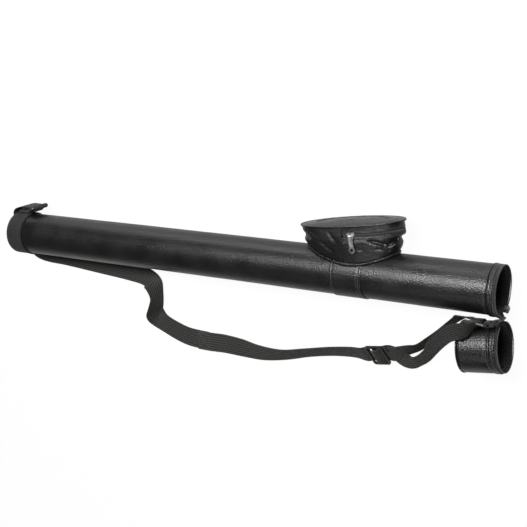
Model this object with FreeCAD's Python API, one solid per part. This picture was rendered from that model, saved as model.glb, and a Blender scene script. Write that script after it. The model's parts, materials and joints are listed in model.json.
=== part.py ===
import FreeCAD, Part
import math
import os

# Tube case for a two-piece billiard cue, lying on its side on the floor with its end lid unzipped
# and swung open beside the tube, and its carrying strap laid out beside it.
# Millimetres. The origin is the centre of the closed base end's outer face. +X runs along the tube
# to the open mouth, +Z is up from the floor, and the accessory pouch points along +Y.

# ---- driving dimensions ---------------------------------------------------------------------
TUBE_R = 32.0            # outside of the leatherette sleeve
TUBE_LENGTH = 799.0      # base end face to the sleeve's front edge
BORE_R = 26.5            # inside of the plush lining, room for a butt and a shaft side by side
SLEEVE_T = 1.1
CORE_T = 2.0
GAP = 0.05               # assembly clearance between layers of one body
CORE_OUT = TUBE_R - SLEEVE_T - GAP
CORE_IN = CORE_OUT - CORE_T
LINING_OUT = CORE_IN - GAP
BASE_T = 3.0
CORE_SETBACK = 3.0       # from the sleeve's front edge back to the core tube
PLUG_T = 6.0

CAP_LENGTH = 29.0
CAP_R = 33.5
BINDING_R = 34.2
FLOOR_Z = -BINDING_R     # the case rests on the binding of its base cap
PAD_T = 8.0
CAP_EDGE_R = 2.4         # rounding of the base cap's closed end
BINDING_W = 3.4
BINDING_EDGE_R = 0.8
HEM_W = 8.0              # turned edge at the mouth
HEM_RISE = 0.8           # how far the hem stands above the sleeve
PIPING_R = 0.9

PARTING_X = 803.0        # plane where the two zip rows meet when the lid is shut
LID_LENGTH = 54.0
LID_R = 33.3
LID_OPEN = 173.0         # degrees the lid is swung open at rest
HINGE_Y = -36.5
HINGE_HALF = 22.0        # half the angle that the fabric hinge takes up at the mouth
HINGE_ROLL_R = 1.3
HINGE_LEAF_HALF = 11.0   # half width of the leaf sewn to the tube
HINGE_ROLL_L = 34.0      # the roll starts level with the leaf and runs on, away from the parked slider
ZIP_R = 31.6
ZIP_REACH = 2.3          # from a tape's edge to the parting line
TAPE_HALF = 0.4          # half of a zip tape's thickness
TOOTH_HALF = 0.9         # half of a tooth's height
TOOTH_GAP = 0.45         # clearance from a tooth's tip to the parting line
ZIP_PITCH = 6.0          # degrees between zip teeth
LID_SLIDER_ANGLE = 207.0 # where the slider is parked, measured from +Y towards +Z
LID_TAPE_W = 1.6         # width of the lid's zip tape, where its hem begins
LID_HEM_W = 9.0          # from the lid's rim to the end of its hem
LID_RIM_SETBACK = 3.0    # from the lid's rim to its core tube
LID_END_T = 3.5          # padded end cover
LID_BOARD_T = 2.0
LID_PAD_T = 6.0
LID_PIPING_R = 1.2
LID_EDGE = 0.6           # the end cover's face lies this far inside the lid's full length

BAND_X0, BAND_X1 = 579.5, 624.5
BAND_T = 1.1

POUCH_X, POUCH_Y = 598.5, 70.0     # centre of the pouch's top panel
POUCH_TILT = 6.8                   # degrees, the mouth-side end stands higher
POUCH_A, POUCH_B = 74.0, 32.0      # half length and half width of the top panel
POUCH_FOOT_A, POUCH_FOOT_B = 64.5, 28.0
POUCH_FOOT_X = 599.5
POUCH_WALL = 1.4
PANEL_T = 2.0
WALL_A, WALL_B = POUCH_A - 1.0, POUCH_B - 0.6      # half sizes of the wall under the top panel
WAIST_Y = 38.0                     # height where the wall turns from the foot's outline to the panel's
SADDLE_T = 1.2                     # sewn base of the pouch, on the band
FOOT_LIP = 1.5                     # how far the base reaches beyond the wall
FOOT_CORD = 2.0                    # height and width of the foot's piping
TOP_CORD = 1.3
FLAP_X = -1.0                      # flap pivot, measured from the panel's centre
FLAP_CUT = 0.3                     # width of the cut between the top's two halves
ZIP_Y = -13.5                      # zip's parting line below the top panel
ZIP_START = 0.0                    # the zip begins this far along from the panel's centre
LOWER_TOP = ZIP_Y - 5.0            # top edge of the wall below the zip
UPPER_FOOT = ZIP_Y + 4.6           # lower edge of the wall above the zip
ZIP_TOOTH_TOP = 1.8                # teeth reach from here ...
ZIP_TOOTH_TIP = 0.4                # ... to here, each side of the zip's parting line
ZIP_TAPE_T = 0.8
ZIP_ARC_R = 156.57                 # arc that the pouch's slider follows, in the middle of the wall
ZIP_ARC_Z = -125.8                 # its centre, across the pouch from the panel's middle
POUCH_SLIDER_TURN = 4.40           # degrees along that arc to the parked slider

PLATE_TOP = 2.4                    # outer face of a zip slider's plates from the middle of the teeth
BRIDGE_Z = 3.95                    # pivot bar of the pull, from the middle of the teeth
BRIDGE_R = 0.5
EYE_R = 1.35
EYE_HALF = 1.7

STRAP_W = 30.0
STRAP_T = 1.5
WIRE_R = 1.7
LOOP_CLEAR = 0.4         # slack between a webbing loop and the bar inside it

RING_BAR = 34.0          # length of a ring's bar between its bends
BASE_RING_Z = -6.0
BASE_BAR = FreeCAD.Vector(33.0, 37.9, BASE_RING_Z)        # bar held by the tab on the base cap
BASE_FAR_BAR = FreeCAD.Vector(43.0, 43.3, BASE_RING_Z)    # bar that the strap loops round
MOUTH_BAR = FreeCAD.Vector(793.5, -36.5, 27.0)            # bar held by the tab at the mouth
MOUTH_FAR_BAR = FreeCAD.Vector(782.0, -35.0, 26.7)        # bar that the strap turns round
MOUTH_BAR_DIR = FreeCAD.Vector(0.0, 0.20, 0.98)
ADJUSTER = FreeCAD.Vector(625.0, -119.5, -19.0)           # centre of the strap's slider
ADJUSTER_RUN = FreeCAD.Vector(0.985, 0.165, 0.06)
ADJUSTER_BAR = FreeCAD.Vector(-0.14, 0.82, 0.57)
ADJUSTER_EYE_R = 3.3     # webbing sewn back round the adjuster's centre bar
ADJUSTER_HOLE_R = 1.7
ADJUSTER_HALF, ADJUSTER_RAIL, ADJUSTER_DEEP = 13.0, 19.2, 1.5   # half sizes along, across and through
TAB_W = 28.0
BASE_TAB_L = 24.0
MOUTH_TAB_L, MOUTH_TAB_W = 8.2, 22.0
BASE_LOOP_L = 28.0       # doubled end of the rear strap
STRAP_Z = FLOOR_Z + STRAP_T / 2 + GAP      # middle of the webbing where it lies on the floor

BIG = 200.0              # half size of the blocks that cut parts in two
X_AXIS = FreeCAD.Vector(1, 0, 0)
Y_AXIS = FreeCAD.Vector(0, 1, 0)
Z_AXIS = FreeCAD.Vector(0, 0, 1)
ORIGIN = FreeCAD.Vector(0, 0, 0)

os.makedirs("parts", exist_ok=True)


def vec(x, y, z):
    return FreeCAD.Vector(x, y, z)


def save(name, shape):
    """Writes one node, whose file name is its name."""
    shape.removeSplitter().exportStep("parts/" + name + ".step")


# ---- shared shapes --------------------------------------------------------------------------
def disc(radius, x0, x1):
    """Solid cylinder on the tube's axis."""
    return Part.makeCylinder(radius, x1 - x0, vec(x0, 0, 0), X_AXIS)


def shell(r_in, r_out, x0, x1):
    """Round sleeve on the tube's axis."""
    return disc(r_out, x0, x1).cut(disc(r_in, x0 - 1, x1 + 1))


def torus(ring_r, bead_r, x):
    """Round bead round the tube's axis."""
    return Part.makeTorus(ring_r, bead_r, vec(x, 0, 0), X_AXIS)


def block(x0, x1, y0, y1, z0, z1):
    return Part.makeBox(x1 - x0, y1 - y0, z1 - z0, vec(x0, y0, z0))


def wedge(a0, a1, x0, x1, radius=60.0):
    """Sector from the tube's axis between two angles, measured from +Y towards +Z."""
    steps = [math.radians(a0 + (a1 - a0) * k / 8) for k in range(9)]
    points = [vec(x0, 0, 0)]
    points += [vec(x0, radius * math.cos(a), radius * math.sin(a)) for a in steps]
    face = Part.Face(Part.makePolygon(points + [points[0]]))
    return face.extrude(vec(x1 - x0, 0, 0))


def fused(shapes):
    whole = shapes[0]
    for shape in shapes[1:]:
        whole = whole.fuse(shape)
    return whole


def teeth_row(r_in, r_out, x0, x1, pitch, skip_from, skip_to):
    """Row of moulded zip teeth round the tube's axis, on a thin cord that joins them."""
    middle = (r_in + r_out) / 2
    row = [shell(middle - 0.35, middle + 0.35, x0, x1).cut(wedge(skip_from, skip_to, x0 - 1, x1 + 1))]
    count = int((360 - (skip_to - skip_from)) / pitch)
    for k in range(count):
        angle = skip_to + pitch * (k + 0.5)
        tooth = block(x0, x1, r_in, r_out, -0.55, 0.55)
        tooth.rotate(ORIGIN, X_AXIS, angle)
        row.append(tooth)
    return fused(row)


def smooth(stations, steps):
    """Catmull-Rom curve through rows of numbers."""
    out = []
    last = len(stations) - 1
    for i in range(last):
        p0 = stations[max(i - 1, 0)]
        p1 = stations[i]
        p2 = stations[i + 1]
        p3 = stations[min(i + 2, last)]
        for k in range(steps):
            t = k / steps
            row = []
            for a, b, c, d in zip(p0, p1, p2, p3):
                row.append(0.5 * (2 * b + (c - a) * t + (2 * a - 5 * b + 4 * c - d) * t ** 2
                                  + (3 * b - a - 3 * c + d) * t ** 3))
            out.append(row)
    out.append(list(stations[last]))
    return out


def across(swing, tilt):
    """Unit vector across the webbing: swing is its compass angle from +X, tilt its rise."""
    s, t = math.radians(swing), math.radians(tilt)
    return vec(math.cos(t) * math.cos(s), math.cos(t) * math.sin(s), math.sin(t))


def ribbon(stations, width=STRAP_W, thickness=STRAP_T, steps=4):
    """Webbing through stations of (x, y, z, swing, tilt[, width])."""
    rows = []
    for station in stations:
        w = across(station[3], station[4])
        size = station[5] if len(station) > 5 else width
        rows.append([station[0], station[1], station[2], w.x, w.y, w.z, size])
    rows = smooth(rows, steps)
    centres = [vec(*row[:3]) for row in rows]
    sections = []
    for i, row in enumerate(rows):
        ahead = centres[min(i + 1, len(rows) - 1)] - centres[max(i - 1, 0)]
        w = vec(*row[3:6])
        w = w - ahead * (w.dot(ahead) / ahead.dot(ahead))
        w.normalize()
        n = w.cross(ahead)
        n.normalize()
        half_w = w * (row[6] / 2)
        half_n = n * (thickness / 2)
        c = centres[i]
        corners = [c - half_w - half_n, c + half_w - half_n, c + half_w + half_n, c - half_w + half_n]
        sections.append(Part.makePolygon(corners + [corners[0]]))
    return Part.makeLoft(sections, True, True)


def placed(shape, centre, run, bar):
    """Moves a shape drawn with its run along +X and its bars along +Z."""
    z = FreeCAD.Vector(bar).normalize()
    x = FreeCAD.Vector(run)
    x = (x - z * x.dot(z)).normalize()
    y = z.cross(x)
    turn = FreeCAD.Placement(FreeCAD.Matrix(x.x, y.x, z.x, centre.x, x.y, y.y, z.y, centre.y,
                                            x.z, y.z, z.z, centre.z, 0, 0, 0, 1))
    moved = shape.copy()
    moved.Placement = turn
    return moved


def wire_ring(length, bar_length, wire_r=WIRE_R, corner=3.0):
    """Rectangular wire ring in the XZ plane, its two bars along Z at x = 0 and x = length."""
    half = bar_length / 2
    lines = []
    a, b, c = length - corner, half - corner, corner
    lines.append(Part.makeLine(vec(c, 0, -half), vec(a, 0, -half)))
    lines.append(arc(vec(a, 0, -half), vec(length, 0, -b), vec(a, 0, -b)))
    lines.append(Part.makeLine(vec(length, 0, -b), vec(length, 0, b)))
    lines.append(arc(vec(length, 0, b), vec(a, 0, half), vec(a, 0, b)))
    lines.append(Part.makeLine(vec(a, 0, half), vec(c, 0, half)))
    lines.append(arc(vec(c, 0, half), vec(0, 0, b), vec(c, 0, b)))
    lines.append(Part.makeLine(vec(0, 0, b), vec(0, 0, -b)))
    lines.append(arc(vec(0, 0, -b), vec(c, 0, -half), vec(c, 0, -b)))
    path = Part.Wire(lines)
    start = Part.Wire([Part.makeCircle(wire_r, vec(c, 0, -half), X_AXIS)])
    return path.makePipeShell([start], True, True)


def arc(start, end, centre):
    """Quarter turn between two points round a centre."""
    out = (start - centre) + (end - centre)
    out.normalize()
    middle = centre + out * (start - centre).Length
    return Part.Arc(start, middle, end).toShape()


def loop_end(tail, width, wire_r=WIRE_R):
    """Sewn webbing loop round a bar along Z at the origin, its doubled tail running towards +X."""
    r_in = wire_r + LOOP_CLEAR
    r_out = r_in + STRAP_T
    eye = Part.makeCylinder(r_out, width, vec(0, 0, -width / 2))
    strip = block(r_in + 0.4, tail, -STRAP_T, STRAP_T, -width / 2, width / 2)
    hole = Part.makeCylinder(r_in, width + 2, vec(0, 0, -width / 2 - 1))
    return eye.fuse(strip).cut(hole)


# ---- tube -----------------------------------------------------------------------------------
def make_tube():
    """Board core with a plugged and padded end, plush inside, and the sleeve in two lengths outside."""
    save("core_tube", shell(CORE_IN, CORE_OUT, BASE_T + GAP, TUBE_LENGTH - CORE_SETBACK))
    save("base_plug", disc(CORE_IN - GAP, BASE_T + GAP, BASE_T + PLUG_T))
    pad_x = BASE_T + PLUG_T + GAP
    save("base_foam_pad", disc(LINING_OUT - GAP, pad_x, pad_x + PAD_T))
    save("tube_lining", shell(BORE_R, LINING_OUT, pad_x + PAD_T + GAP, TUBE_LENGTH + 1))
    middle = (BAND_X0 + BAND_X1) / 2
    save("rear_sleeve", shell(CORE_OUT + GAP, TUBE_R, BASE_T + GAP, middle))
    save("front_sleeve", shell(CORE_OUT + GAP, TUBE_R, middle + GAP, TUBE_LENGTH - HEM_W))
    save("pouch_band", shell(TUBE_R + GAP, TUBE_R + BAND_T, BAND_X0, BAND_X1))


def make_base_cap():
    """Woven cup over the closed end, and the binding round its edge."""
    outside = disc(CAP_R, 0, CAP_LENGTH)
    rim = [e for e in outside.Edges if abs(e.BoundBox.XMax) < 0.01]
    outside = outside.makeFillet(CAP_EDGE_R, rim)
    save("base_cap", outside.cut(disc(TUBE_R + GAP, BASE_T, CAP_LENGTH + 1)))
    bead = shell(TUBE_R + GAP, BINDING_R, CAP_LENGTH + GAP, CAP_LENGTH + BINDING_W)
    edges = [e for e in bead.Edges if abs(e.BoundBox.ZMax - BINDING_R) < 0.05 and e.BoundBox.XLength < 0.01]
    save("base_binding", bead.makeFillet(BINDING_EDGE_R, edges))


def hinge_sector():
    """Part of the rim that the fabric hinge takes up, free of tape and teeth."""
    return wedge(180 - HINGE_HALF, 180 + HINGE_HALF, 0, PARTING_X + BIG)


def rim_teeth(x0, x1):
    return teeth_row(ZIP_R - TOOTH_HALF, ZIP_R + TOOTH_HALF, x0, x1, ZIP_PITCH, 180 - HINGE_HALF,
                     180 + HINGE_HALF)


def make_mouth():
    """Hem of the sleeve, zip tape and teeth round the tube's open end."""
    hem_x = TUBE_LENGTH - HEM_W + GAP
    hem_end = TUBE_LENGTH - 1.0
    tape_edge = PARTING_X - ZIP_REACH
    save("mouth_hem", shell(CORE_OUT + GAP, TUBE_R + HEM_RISE, hem_x, hem_end))
    cord = torus(TUBE_R + HEM_RISE / 2, PIPING_R, hem_x - 1.0)
    save("mouth_piping", cord.cut(disc(TUBE_R + GAP, hem_x - 3, hem_x + 3)))
    tape = shell(ZIP_R - TAPE_HALF, ZIP_R + TAPE_HALF, hem_end + GAP, tape_edge)
    save("mouth_zip_tape", tape.cut(hinge_sector()))
    save("mouth_zip_teeth", rim_teeth(tape_edge + GAP, PARTING_X - TOOTH_GAP))


# ---- lid ------------------------------------------------------------------------------------
def open_lid(shape):
    """The lid's parts are drawn shut, in line with the tube, and swung open here."""
    turned = shape.copy()
    turned.rotate(vec(PARTING_X, HINGE_Y, 0), Z_AXIS, -LID_OPEN)
    return turned


def make_lid():
    """Padded cup with a hemmed rim, its half of the zip, and a corded end cover."""
    rim = PARTING_X + ZIP_REACH
    end = PARTING_X + LID_LENGTH
    board_x = end - LID_END_T - LID_BOARD_T
    pad_x = board_x - LID_PAD_T
    core_out = LID_R - SLEEVE_T - GAP
    core_in = core_out - CORE_T
    save("lid_core", open_lid(shell(core_in, core_out, rim + LID_RIM_SETBACK, end - LID_END_T)))
    save("lid_top_board", open_lid(disc(core_in - GAP, board_x, end - LID_END_T)))
    save("lid_foam_pad", open_lid(disc(core_in - GAP, pad_x, board_x - GAP)))
    save("lid_lining", open_lid(shell(BORE_R + 0.8, core_in - GAP, rim + LID_TAPE_W, pad_x - GAP)))
    save("lid_cover", open_lid(shell(core_out + GAP, LID_R, rim + LID_HEM_W + GAP, end - LID_EDGE - 1.0)))
    save("lid_hem", open_lid(shell(core_out + GAP, LID_R + 0.5, rim + LID_TAPE_W, rim + LID_HEM_W)))
    save("lid_end_panel", open_lid(disc(core_out, end - LID_END_T + GAP, end - LID_EDGE)))
    bead = torus(LID_R - 0.5, LID_PIPING_R, end - LID_EDGE)
    bead = bead.cut(disc(core_out + GAP, end - 5, end + 5))
    save("lid_piping", open_lid(bead.cut(disc(BIG, end - 10, end - LID_EDGE - 1.0 + GAP))))
    tape = shell(ZIP_R - TAPE_HALF, ZIP_R + TAPE_HALF, rim, rim + LID_TAPE_W - GAP)
    save("lid_zip_tape", open_lid(tape.cut(hinge_sector())))
    save("lid_zip_teeth", open_lid(rim_teeth(PARTING_X + TOOTH_GAP, rim - GAP)))


def make_hinge():
    """Fabric hinge: a rolled fold on the pivot line, with a sewn leaf on the tube."""
    half = HINGE_LEAF_HALF
    roll = Part.makeCylinder(HINGE_ROLL_R, HINGE_ROLL_L, vec(PARTING_X, HINGE_Y, -half))
    leaf = block(PARTING_X - 11, PARTING_X - 0.6, -TUBE_R - 2.4, -TUBE_R - 1.0, -half, half)
    web = block(PARTING_X - 1.2, PARTING_X - 0.2, HINGE_Y + 0.2, -TUBE_R - 1.6, -half, half)
    save("hinge_gusset", fused([roll, leaf, web]))


def zip_slider(half_along, low, high):
    """Zip slider on z = 0, the zip along X: two plates from y = -low to high, a blade and a bridge."""
    outer = block(-half_along, half_along, -low, high, 1.3, PLATE_TOP)
    inner = block(-half_along, half_along, -low, high, -PLATE_TOP, -1.3)
    blade = block(-half_along, -half_along + 1.6, -0.25, 0.25, -1.4, 1.4)
    posts = []
    for side in (-1, 1):
        x = side * (EYE_HALF + 0.75)
        post = block(x - 0.6, x + 0.6, -0.9, 0.9, PLATE_TOP - 0.1, BRIDGE_Z)
        cap = Part.makeCylinder(0.9, 1.2, vec(x - 0.6, 0, BRIDGE_Z), X_AXIS)
        posts.append(post.fuse(cap))
    bar = Part.makeCylinder(BRIDGE_R, 2 * EYE_HALF + 1.0, vec(-EYE_HALF - 0.5, 0, BRIDGE_Z), X_AXIS)
    return fused([outer, inner, blade, bar] + posts)


def zip_pull(length, half_width, end_r, hole_r):
    """Flat pull with an eye round the slider's bar, lying along -Y, and a rounded end with a hole."""
    thick = 0.55
    eye = Part.makeCylinder(EYE_R, 2 * EYE_HALF, vec(-EYE_HALF, 0, BRIDGE_Z), X_AXIS)
    neck = block(-EYE_HALF, EYE_HALF, -3.0, 0, BRIDGE_Z - thick, BRIDGE_Z + thick)
    plate = block(-half_width, half_width, -length, -2.6, BRIDGE_Z - thick, BRIDGE_Z + thick)
    end = Part.makeCylinder(end_r, 2 * thick, vec(0, -length, BRIDGE_Z - thick))
    hole = Part.makeCylinder(hole_r, 6, vec(0, -length, BRIDGE_Z - 3))
    bore = Part.makeCylinder(BRIDGE_R + 0.15, 2 * EYE_HALF + 2, vec(-EYE_HALF - 1, 0, BRIDGE_Z), X_AXIS)
    return fused([eye, neck, plate, end]).cut(hole).cut(bore)


def on_mouth_zip(shape):
    """Sets a slider's part on the mouth's zip: its own X goes round the rim and its Y along the tube."""
    turned = shape.copy()
    turned.rotate(ORIGIN, Z_AXIS, -90)
    turned.rotate(ORIGIN, X_AXIS, -90)
    turned.translate(vec(PARTING_X, ZIP_R, 0))
    turned.rotate(ORIGIN, X_AXIS, LID_SLIDER_ANGLE)
    return turned


def make_lid_slider():
    """Zip slider parked beside the hinge, with its pull lying back along the tube."""
    save("lid_zip_slider", on_mouth_zip(zip_slider(4.0, 3.4, 2.6)))
    save("lid_zip_pull", on_mouth_zip(zip_pull(14.0, 1.7, 2.4, 1.2)))


# ---- pouch ----------------------------------------------------------------------------------
def oval(a, b, y, x=0.0):
    """Oval wire in the XZ plane at height y."""
    curve = Part.Ellipse(vec(x + a, y, 0), vec(x, y, -b), vec(x, y, 0))
    return Part.Wire([curve.toShape()])


def oval_slab(a, b, y0, y1):
    return Part.Face(oval(a, b, y0)).extrude(vec(0, y1 - y0, 0))


def oval_wall(a, b, y0, y1, thickness):
    outer = oval_slab(a, b, y0, y1)
    return outer.cut(oval_slab(a - thickness, b - thickness, y0 - 1, y1 + 1))


def tilted(shape):
    """From the top panel's own frame to the case's frame."""
    turned = shape.copy()
    turned.rotate(ORIGIN, Z_AXIS, POUCH_TILT)
    turned.translate(vec(POUCH_X, POUCH_Y, 0))
    return turned


def pouch_wall_solid(inset):
    """Solid between the pouch's foot on the tube and the height of its zip."""
    foot = oval(POUCH_FOOT_A - inset, POUCH_FOOT_B - inset, 0, POUCH_FOOT_X)
    waist = oval(POUCH_FOOT_A - inset, POUCH_FOOT_B - inset, WAIST_Y, POUCH_FOOT_X)
    lower = Part.makeLoft([foot, waist], True, True)
    top = tilted(oval(WALL_A - inset, WALL_B - inset, LOWER_TOP))
    upper = Part.makeLoft([waist, top], True, True)
    return lower.fuse(upper)


def saddle_shell(r_in, r_out):
    """Sleeve round the band, as long as the pouch's foot."""
    return shell(r_in, r_out, POUCH_FOOT_X - 70, POUCH_FOOT_X + 70)


def make_pouch():
    """Sewn base on the band, the wall up to the zip, and the closed wall of the base-side half."""
    band_r = TUBE_R + BAND_T
    outline = oval_slab(POUCH_FOOT_A + FOOT_LIP, POUCH_FOOT_B + FOOT_LIP, 0, 40)
    outline.translate(vec(POUCH_FOOT_X, 0, 0))
    save("pouch_base", saddle_shell(band_r + GAP, band_r + SADDLE_T).common(outline))
    clear = disc(band_r + SADDLE_T + GAP, 400, 800)
    wall = pouch_wall_solid(0.0).cut(pouch_wall_solid(POUCH_WALL))
    blank = tilted(oval_wall(WALL_A, WALL_B, LOWER_TOP, -PANEL_T - GAP, POUCH_WALL))
    left = tilted(block(-BIG, ZIP_START - 4, -BIG, BIG, -BIG, BIG))
    save("pouch_gusset", wall.fuse(blank.common(left)).cut(clear))
    make_pouch_piping()
    make_pouch_top()
    make_pouch_zip()


def fixed_half():
    return block(-BIG, FLAP_X - FLAP_CUT, -BIG, BIG, -BIG, BIG)


def flap_half():
    return block(FLAP_X, BIG, -BIG, BIG, -BIG, BIG)


def make_pouch_piping():
    """Corded edges: one round the foot on the tube, one round each half of the top panel."""
    foot_r = TUBE_R + BAND_T + SADDLE_T
    foot = saddle_shell(foot_r + GAP, foot_r + FOOT_CORD)
    ring = oval_wall(POUCH_FOOT_A + 2.2, POUCH_FOOT_B + 2.2, 0, 40, FOOT_CORD)
    ring.translate(vec(POUCH_FOOT_X, 0, 0))
    save("pouch_foot_piping", foot.common(ring))
    bead = oval_wall(POUCH_A + 1.4, POUCH_B + 1.4, -2.6, -0.2, TOP_CORD)
    save("pouch_top_piping", tilted(bead.common(fixed_half())))
    save("flap_piping", tilted(bead.common(flap_half())))


def make_pouch_top():
    """Top panel: a fixed half, and the half that lifts with the zip as the pouch's flap."""
    panel = oval_slab(POUCH_A, POUCH_B, -PANEL_T, 0.0)
    save("pouch_top", tilted(panel.common(fixed_half())))
    save("pouch_flap", tilted(panel.common(flap_half())))


def zip_part(y0, y1, thickness, inset):
    """Stretch of the pouch's zip round its mouth-side end."""
    wall = oval_wall(WALL_A - inset, WALL_B - inset, y0, y1, thickness)
    return tilted(wall.common(block(ZIP_START, BIG, -BIG, BIG, -BIG, BIG)))


def make_pouch_zip():
    """Zip round the mouth-side half: tape and teeth below and above its parting line, slider and pull."""
    top, tip = ZIP_TOOTH_TOP, ZIP_TOOTH_TIP
    save("flap_gusset", zip_part(UPPER_FOOT, -PANEL_T - GAP, POUCH_WALL, 0.0))
    save("flap_zip_tape", zip_part(ZIP_Y + top + GAP, UPPER_FOOT - GAP, ZIP_TAPE_T, 0.3))
    save("flap_zip_teeth", zip_part(ZIP_Y + tip, ZIP_Y + top, 2 * TOOTH_HALF, -0.2))
    save("pouch_zip_teeth", zip_part(ZIP_Y - top, ZIP_Y - tip, 2 * TOOTH_HALF, -0.2))
    save("pouch_zip_tape", zip_part(LOWER_TOP + GAP, ZIP_Y - top - GAP, ZIP_TAPE_T, 0.3))
    save("pouch_zip_slider", on_pouch_zip(zip_slider(5.0, 3.6, 3.6)))
    save("pouch_zip_pull", on_pouch_zip(zip_pull(18.5, 2.8, 4.0, 2.3)))


def on_pouch_zip(shape):
    """Sets a slider's part on the pouch's zip, which is close to an arc round (0, ARC_Z)."""
    turned = shape.copy()
    turned.translate(vec(0, ZIP_Y, ZIP_ARC_Z + ZIP_ARC_R))
    turned.rotate(vec(0, 0, ZIP_ARC_Z), Y_AXIS, POUCH_SLIDER_TURN)
    return tilted(turned)


# ---- strap, rings and adjuster --------------------------------------------------------------
def make_rings():
    """Wire rings that join the strap to the case, with the webbing tabs that hold them."""
    run = BASE_FAR_BAR - BASE_BAR
    save("base_ring", placed(wire_ring(run.Length, RING_BAR), BASE_BAR, run, Z_AXIS))
    tab = loop_end(BASE_TAB_L, TAB_W)
    tab.rotate(ORIGIN, Z_AXIS, 180)
    tab.translate(BASE_BAR)
    save("base_tab", tab)
    run = MOUTH_FAR_BAR - MOUTH_BAR
    save("mouth_ring", placed(wire_ring(run.Length, RING_BAR), MOUTH_BAR, run, MOUTH_BAR_DIR))
    save("mouth_tab", placed(loop_end(MOUTH_TAB_L, MOUTH_TAB_W), MOUTH_BAR, X_AXIS, MOUTH_BAR_DIR))


def rear_strap():
    """From the base ring back over the base end, round it and along the floor."""
    path = [
        (28, 43.2, -6, 0, 90), (14, 42.2, -6, 0, 90), (3, 39.2, -6.5, 0, 90), (-3.5, 33.0, -8, 0, 90),
        (-6.0, 20, -11, 0, 90), (-9, 2, -15, 0, 90), (-14, -18, -17.6, 0, 90), (-13, -31, -18.2, 60, 88),
        (-5, -39, -20.0, 80, 70), (10, -42.0, -26.5, 85, 32), (30, -43, -31.8, 88, 8),
        (63, -44, STRAP_Z, 92, 0),
        (126, -49, STRAP_Z, 94, 0), (187, -54, STRAP_Z, 94, 0), (222, -57.5, -31.4, 92, -6),
        (240, -61.5, -24.6, 74, -36), (250, -69, -20.0, 45, -66), (254.5, -84, -18.9, 0, -84),
        (251, -99, -19.6, 20, -72), (245, -112, -23.5, 42, -40), (245.5, -122, -29.6, 62, -14),
        (257, -131.5, STRAP_Z + 0.2, 68, 0), (281, -141, STRAP_Z, 73, 0), (304, -146.5, STRAP_Z, 80, 0),
        (338, -148.2, STRAP_Z, 90, 0)]
    return ribbon(path)


def adjuster_frame():
    """Directions of the adjuster: along the strap, along its bars, and out of its face."""
    run = FreeCAD.Vector(ADJUSTER_RUN).normalize()
    bar = (ADJUSTER_BAR - run * ADJUSTER_BAR.dot(run)).normalize()
    return run, bar, run.cross(bar)


def angles(direction):
    """Swing and tilt, in degrees, of the webbing's width direction."""
    return math.degrees(math.atan2(direction.y, direction.x)), math.degrees(math.asin(direction.z))


def through_adjuster(offsets):
    """Ribbon stations at distances along the adjuster and heights out of its face."""
    run, bar, face = adjuster_frame()
    swing, tilt = angles(bar)
    stations = []
    for along, height in offsets:
        c = ADJUSTER + run * along + face * height
        stations.append((c.x, c.y, c.z, swing, tilt))
    return stations


def front_strap():
    """From the sewn joint along the floor, rising on one edge to reach the adjuster and the mouth ring."""
    path = [
        (318, -148.0, STRAP_Z + 1.6, 87, 0), (336, -148.2, STRAP_Z + 1.6, 90, 0),
        (350, -148.2, STRAP_Z + 0.6, 90, 1), (368, -147.9, STRAP_Z, 90, 2),
        (400, -149, STRAP_Z + 1.2, 91, 8), (434, -149, STRAP_Z + 6.2, 88, 24),
        (475, -144, STRAP_Z + 10.4, 82, 42), (514, -134.5, STRAP_Z + 11.4, 77, 47),
        (553, -126.5, STRAP_Z + 11.2, 80, 46), (585, -122.5, STRAP_Z + 11.2, 88, 42)]
    path += through_adjuster([
        (-22, -1.2), (-14, -2.9), (-9.9, -2.7), (-4.8, 2.2), (0, 4.4),
        (4.8, 2.2), (9.9, -2.7), (14, -2.9), (21, -2.4)])
    path += [
        (662, -106, -15.5, 75, 44), (679.5, -98, -12.3, 115, 56), (695, -88.5, -8.5, 160, 65),
        (712.5, -72, -1, 180, 68), (730.5, -56, 7.5, 180, 69), (747, -41.5, 13.5, 165, 68),
        (757, -35, 17.2, 130, 66), (765, -32.6, 22.2, 80, 71)]
    return path


def mouth_loop():
    """Turn of the strap round the far bar of the mouth ring."""
    back = (MOUTH_BAR - MOUTH_FAR_BAR).normalize()
    bar = (MOUTH_BAR_DIR - back * MOUTH_BAR_DIR.dot(back)).normalize()
    side = bar.cross(back)
    swing, tilt = angles(bar)
    radius = WIRE_R + LOOP_CLEAR + STRAP_T / 2
    path = []
    for angle in (90, 60, 30, 0, -30, -60, -90):
        a = math.radians(angle)
        c = MOUTH_FAR_BAR + back * (radius * math.cos(a)) + side * (radius * math.sin(a))
        path.append((c.x, c.y, c.z, swing, tilt, 28.0))
    return path


def return_strap():
    """Back from the mouth ring, over the corner of the open lid and down to the adjuster."""
    path = [
        (774.5, -40.4, 35, 92, 56, 27.0), (766, -44.6, 40.6, 88, 32, 28.0), (754, -47.6, 45, 115, 34),
        (737, -61.5, 36, 155, 43), (719.2, -82.4, 11.5, 183, 45), (700.8, -102, -8, 180, 47),
        (686, -115.3, -20, 156, 44), (674.9, -120.2, -25, 118, 34), (664, -122, -26.6, 76, 20)]
    return path + through_adjuster([(22, -5.8), (13, -5.0), (6.5, -4.2), (1.0, -2.5)])


def full_width(stations):
    """Gives the strap's full width to the stations that don't name their own."""
    return [s if len(s) > 5 else s + (STRAP_W,) for s in stations]


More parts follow.
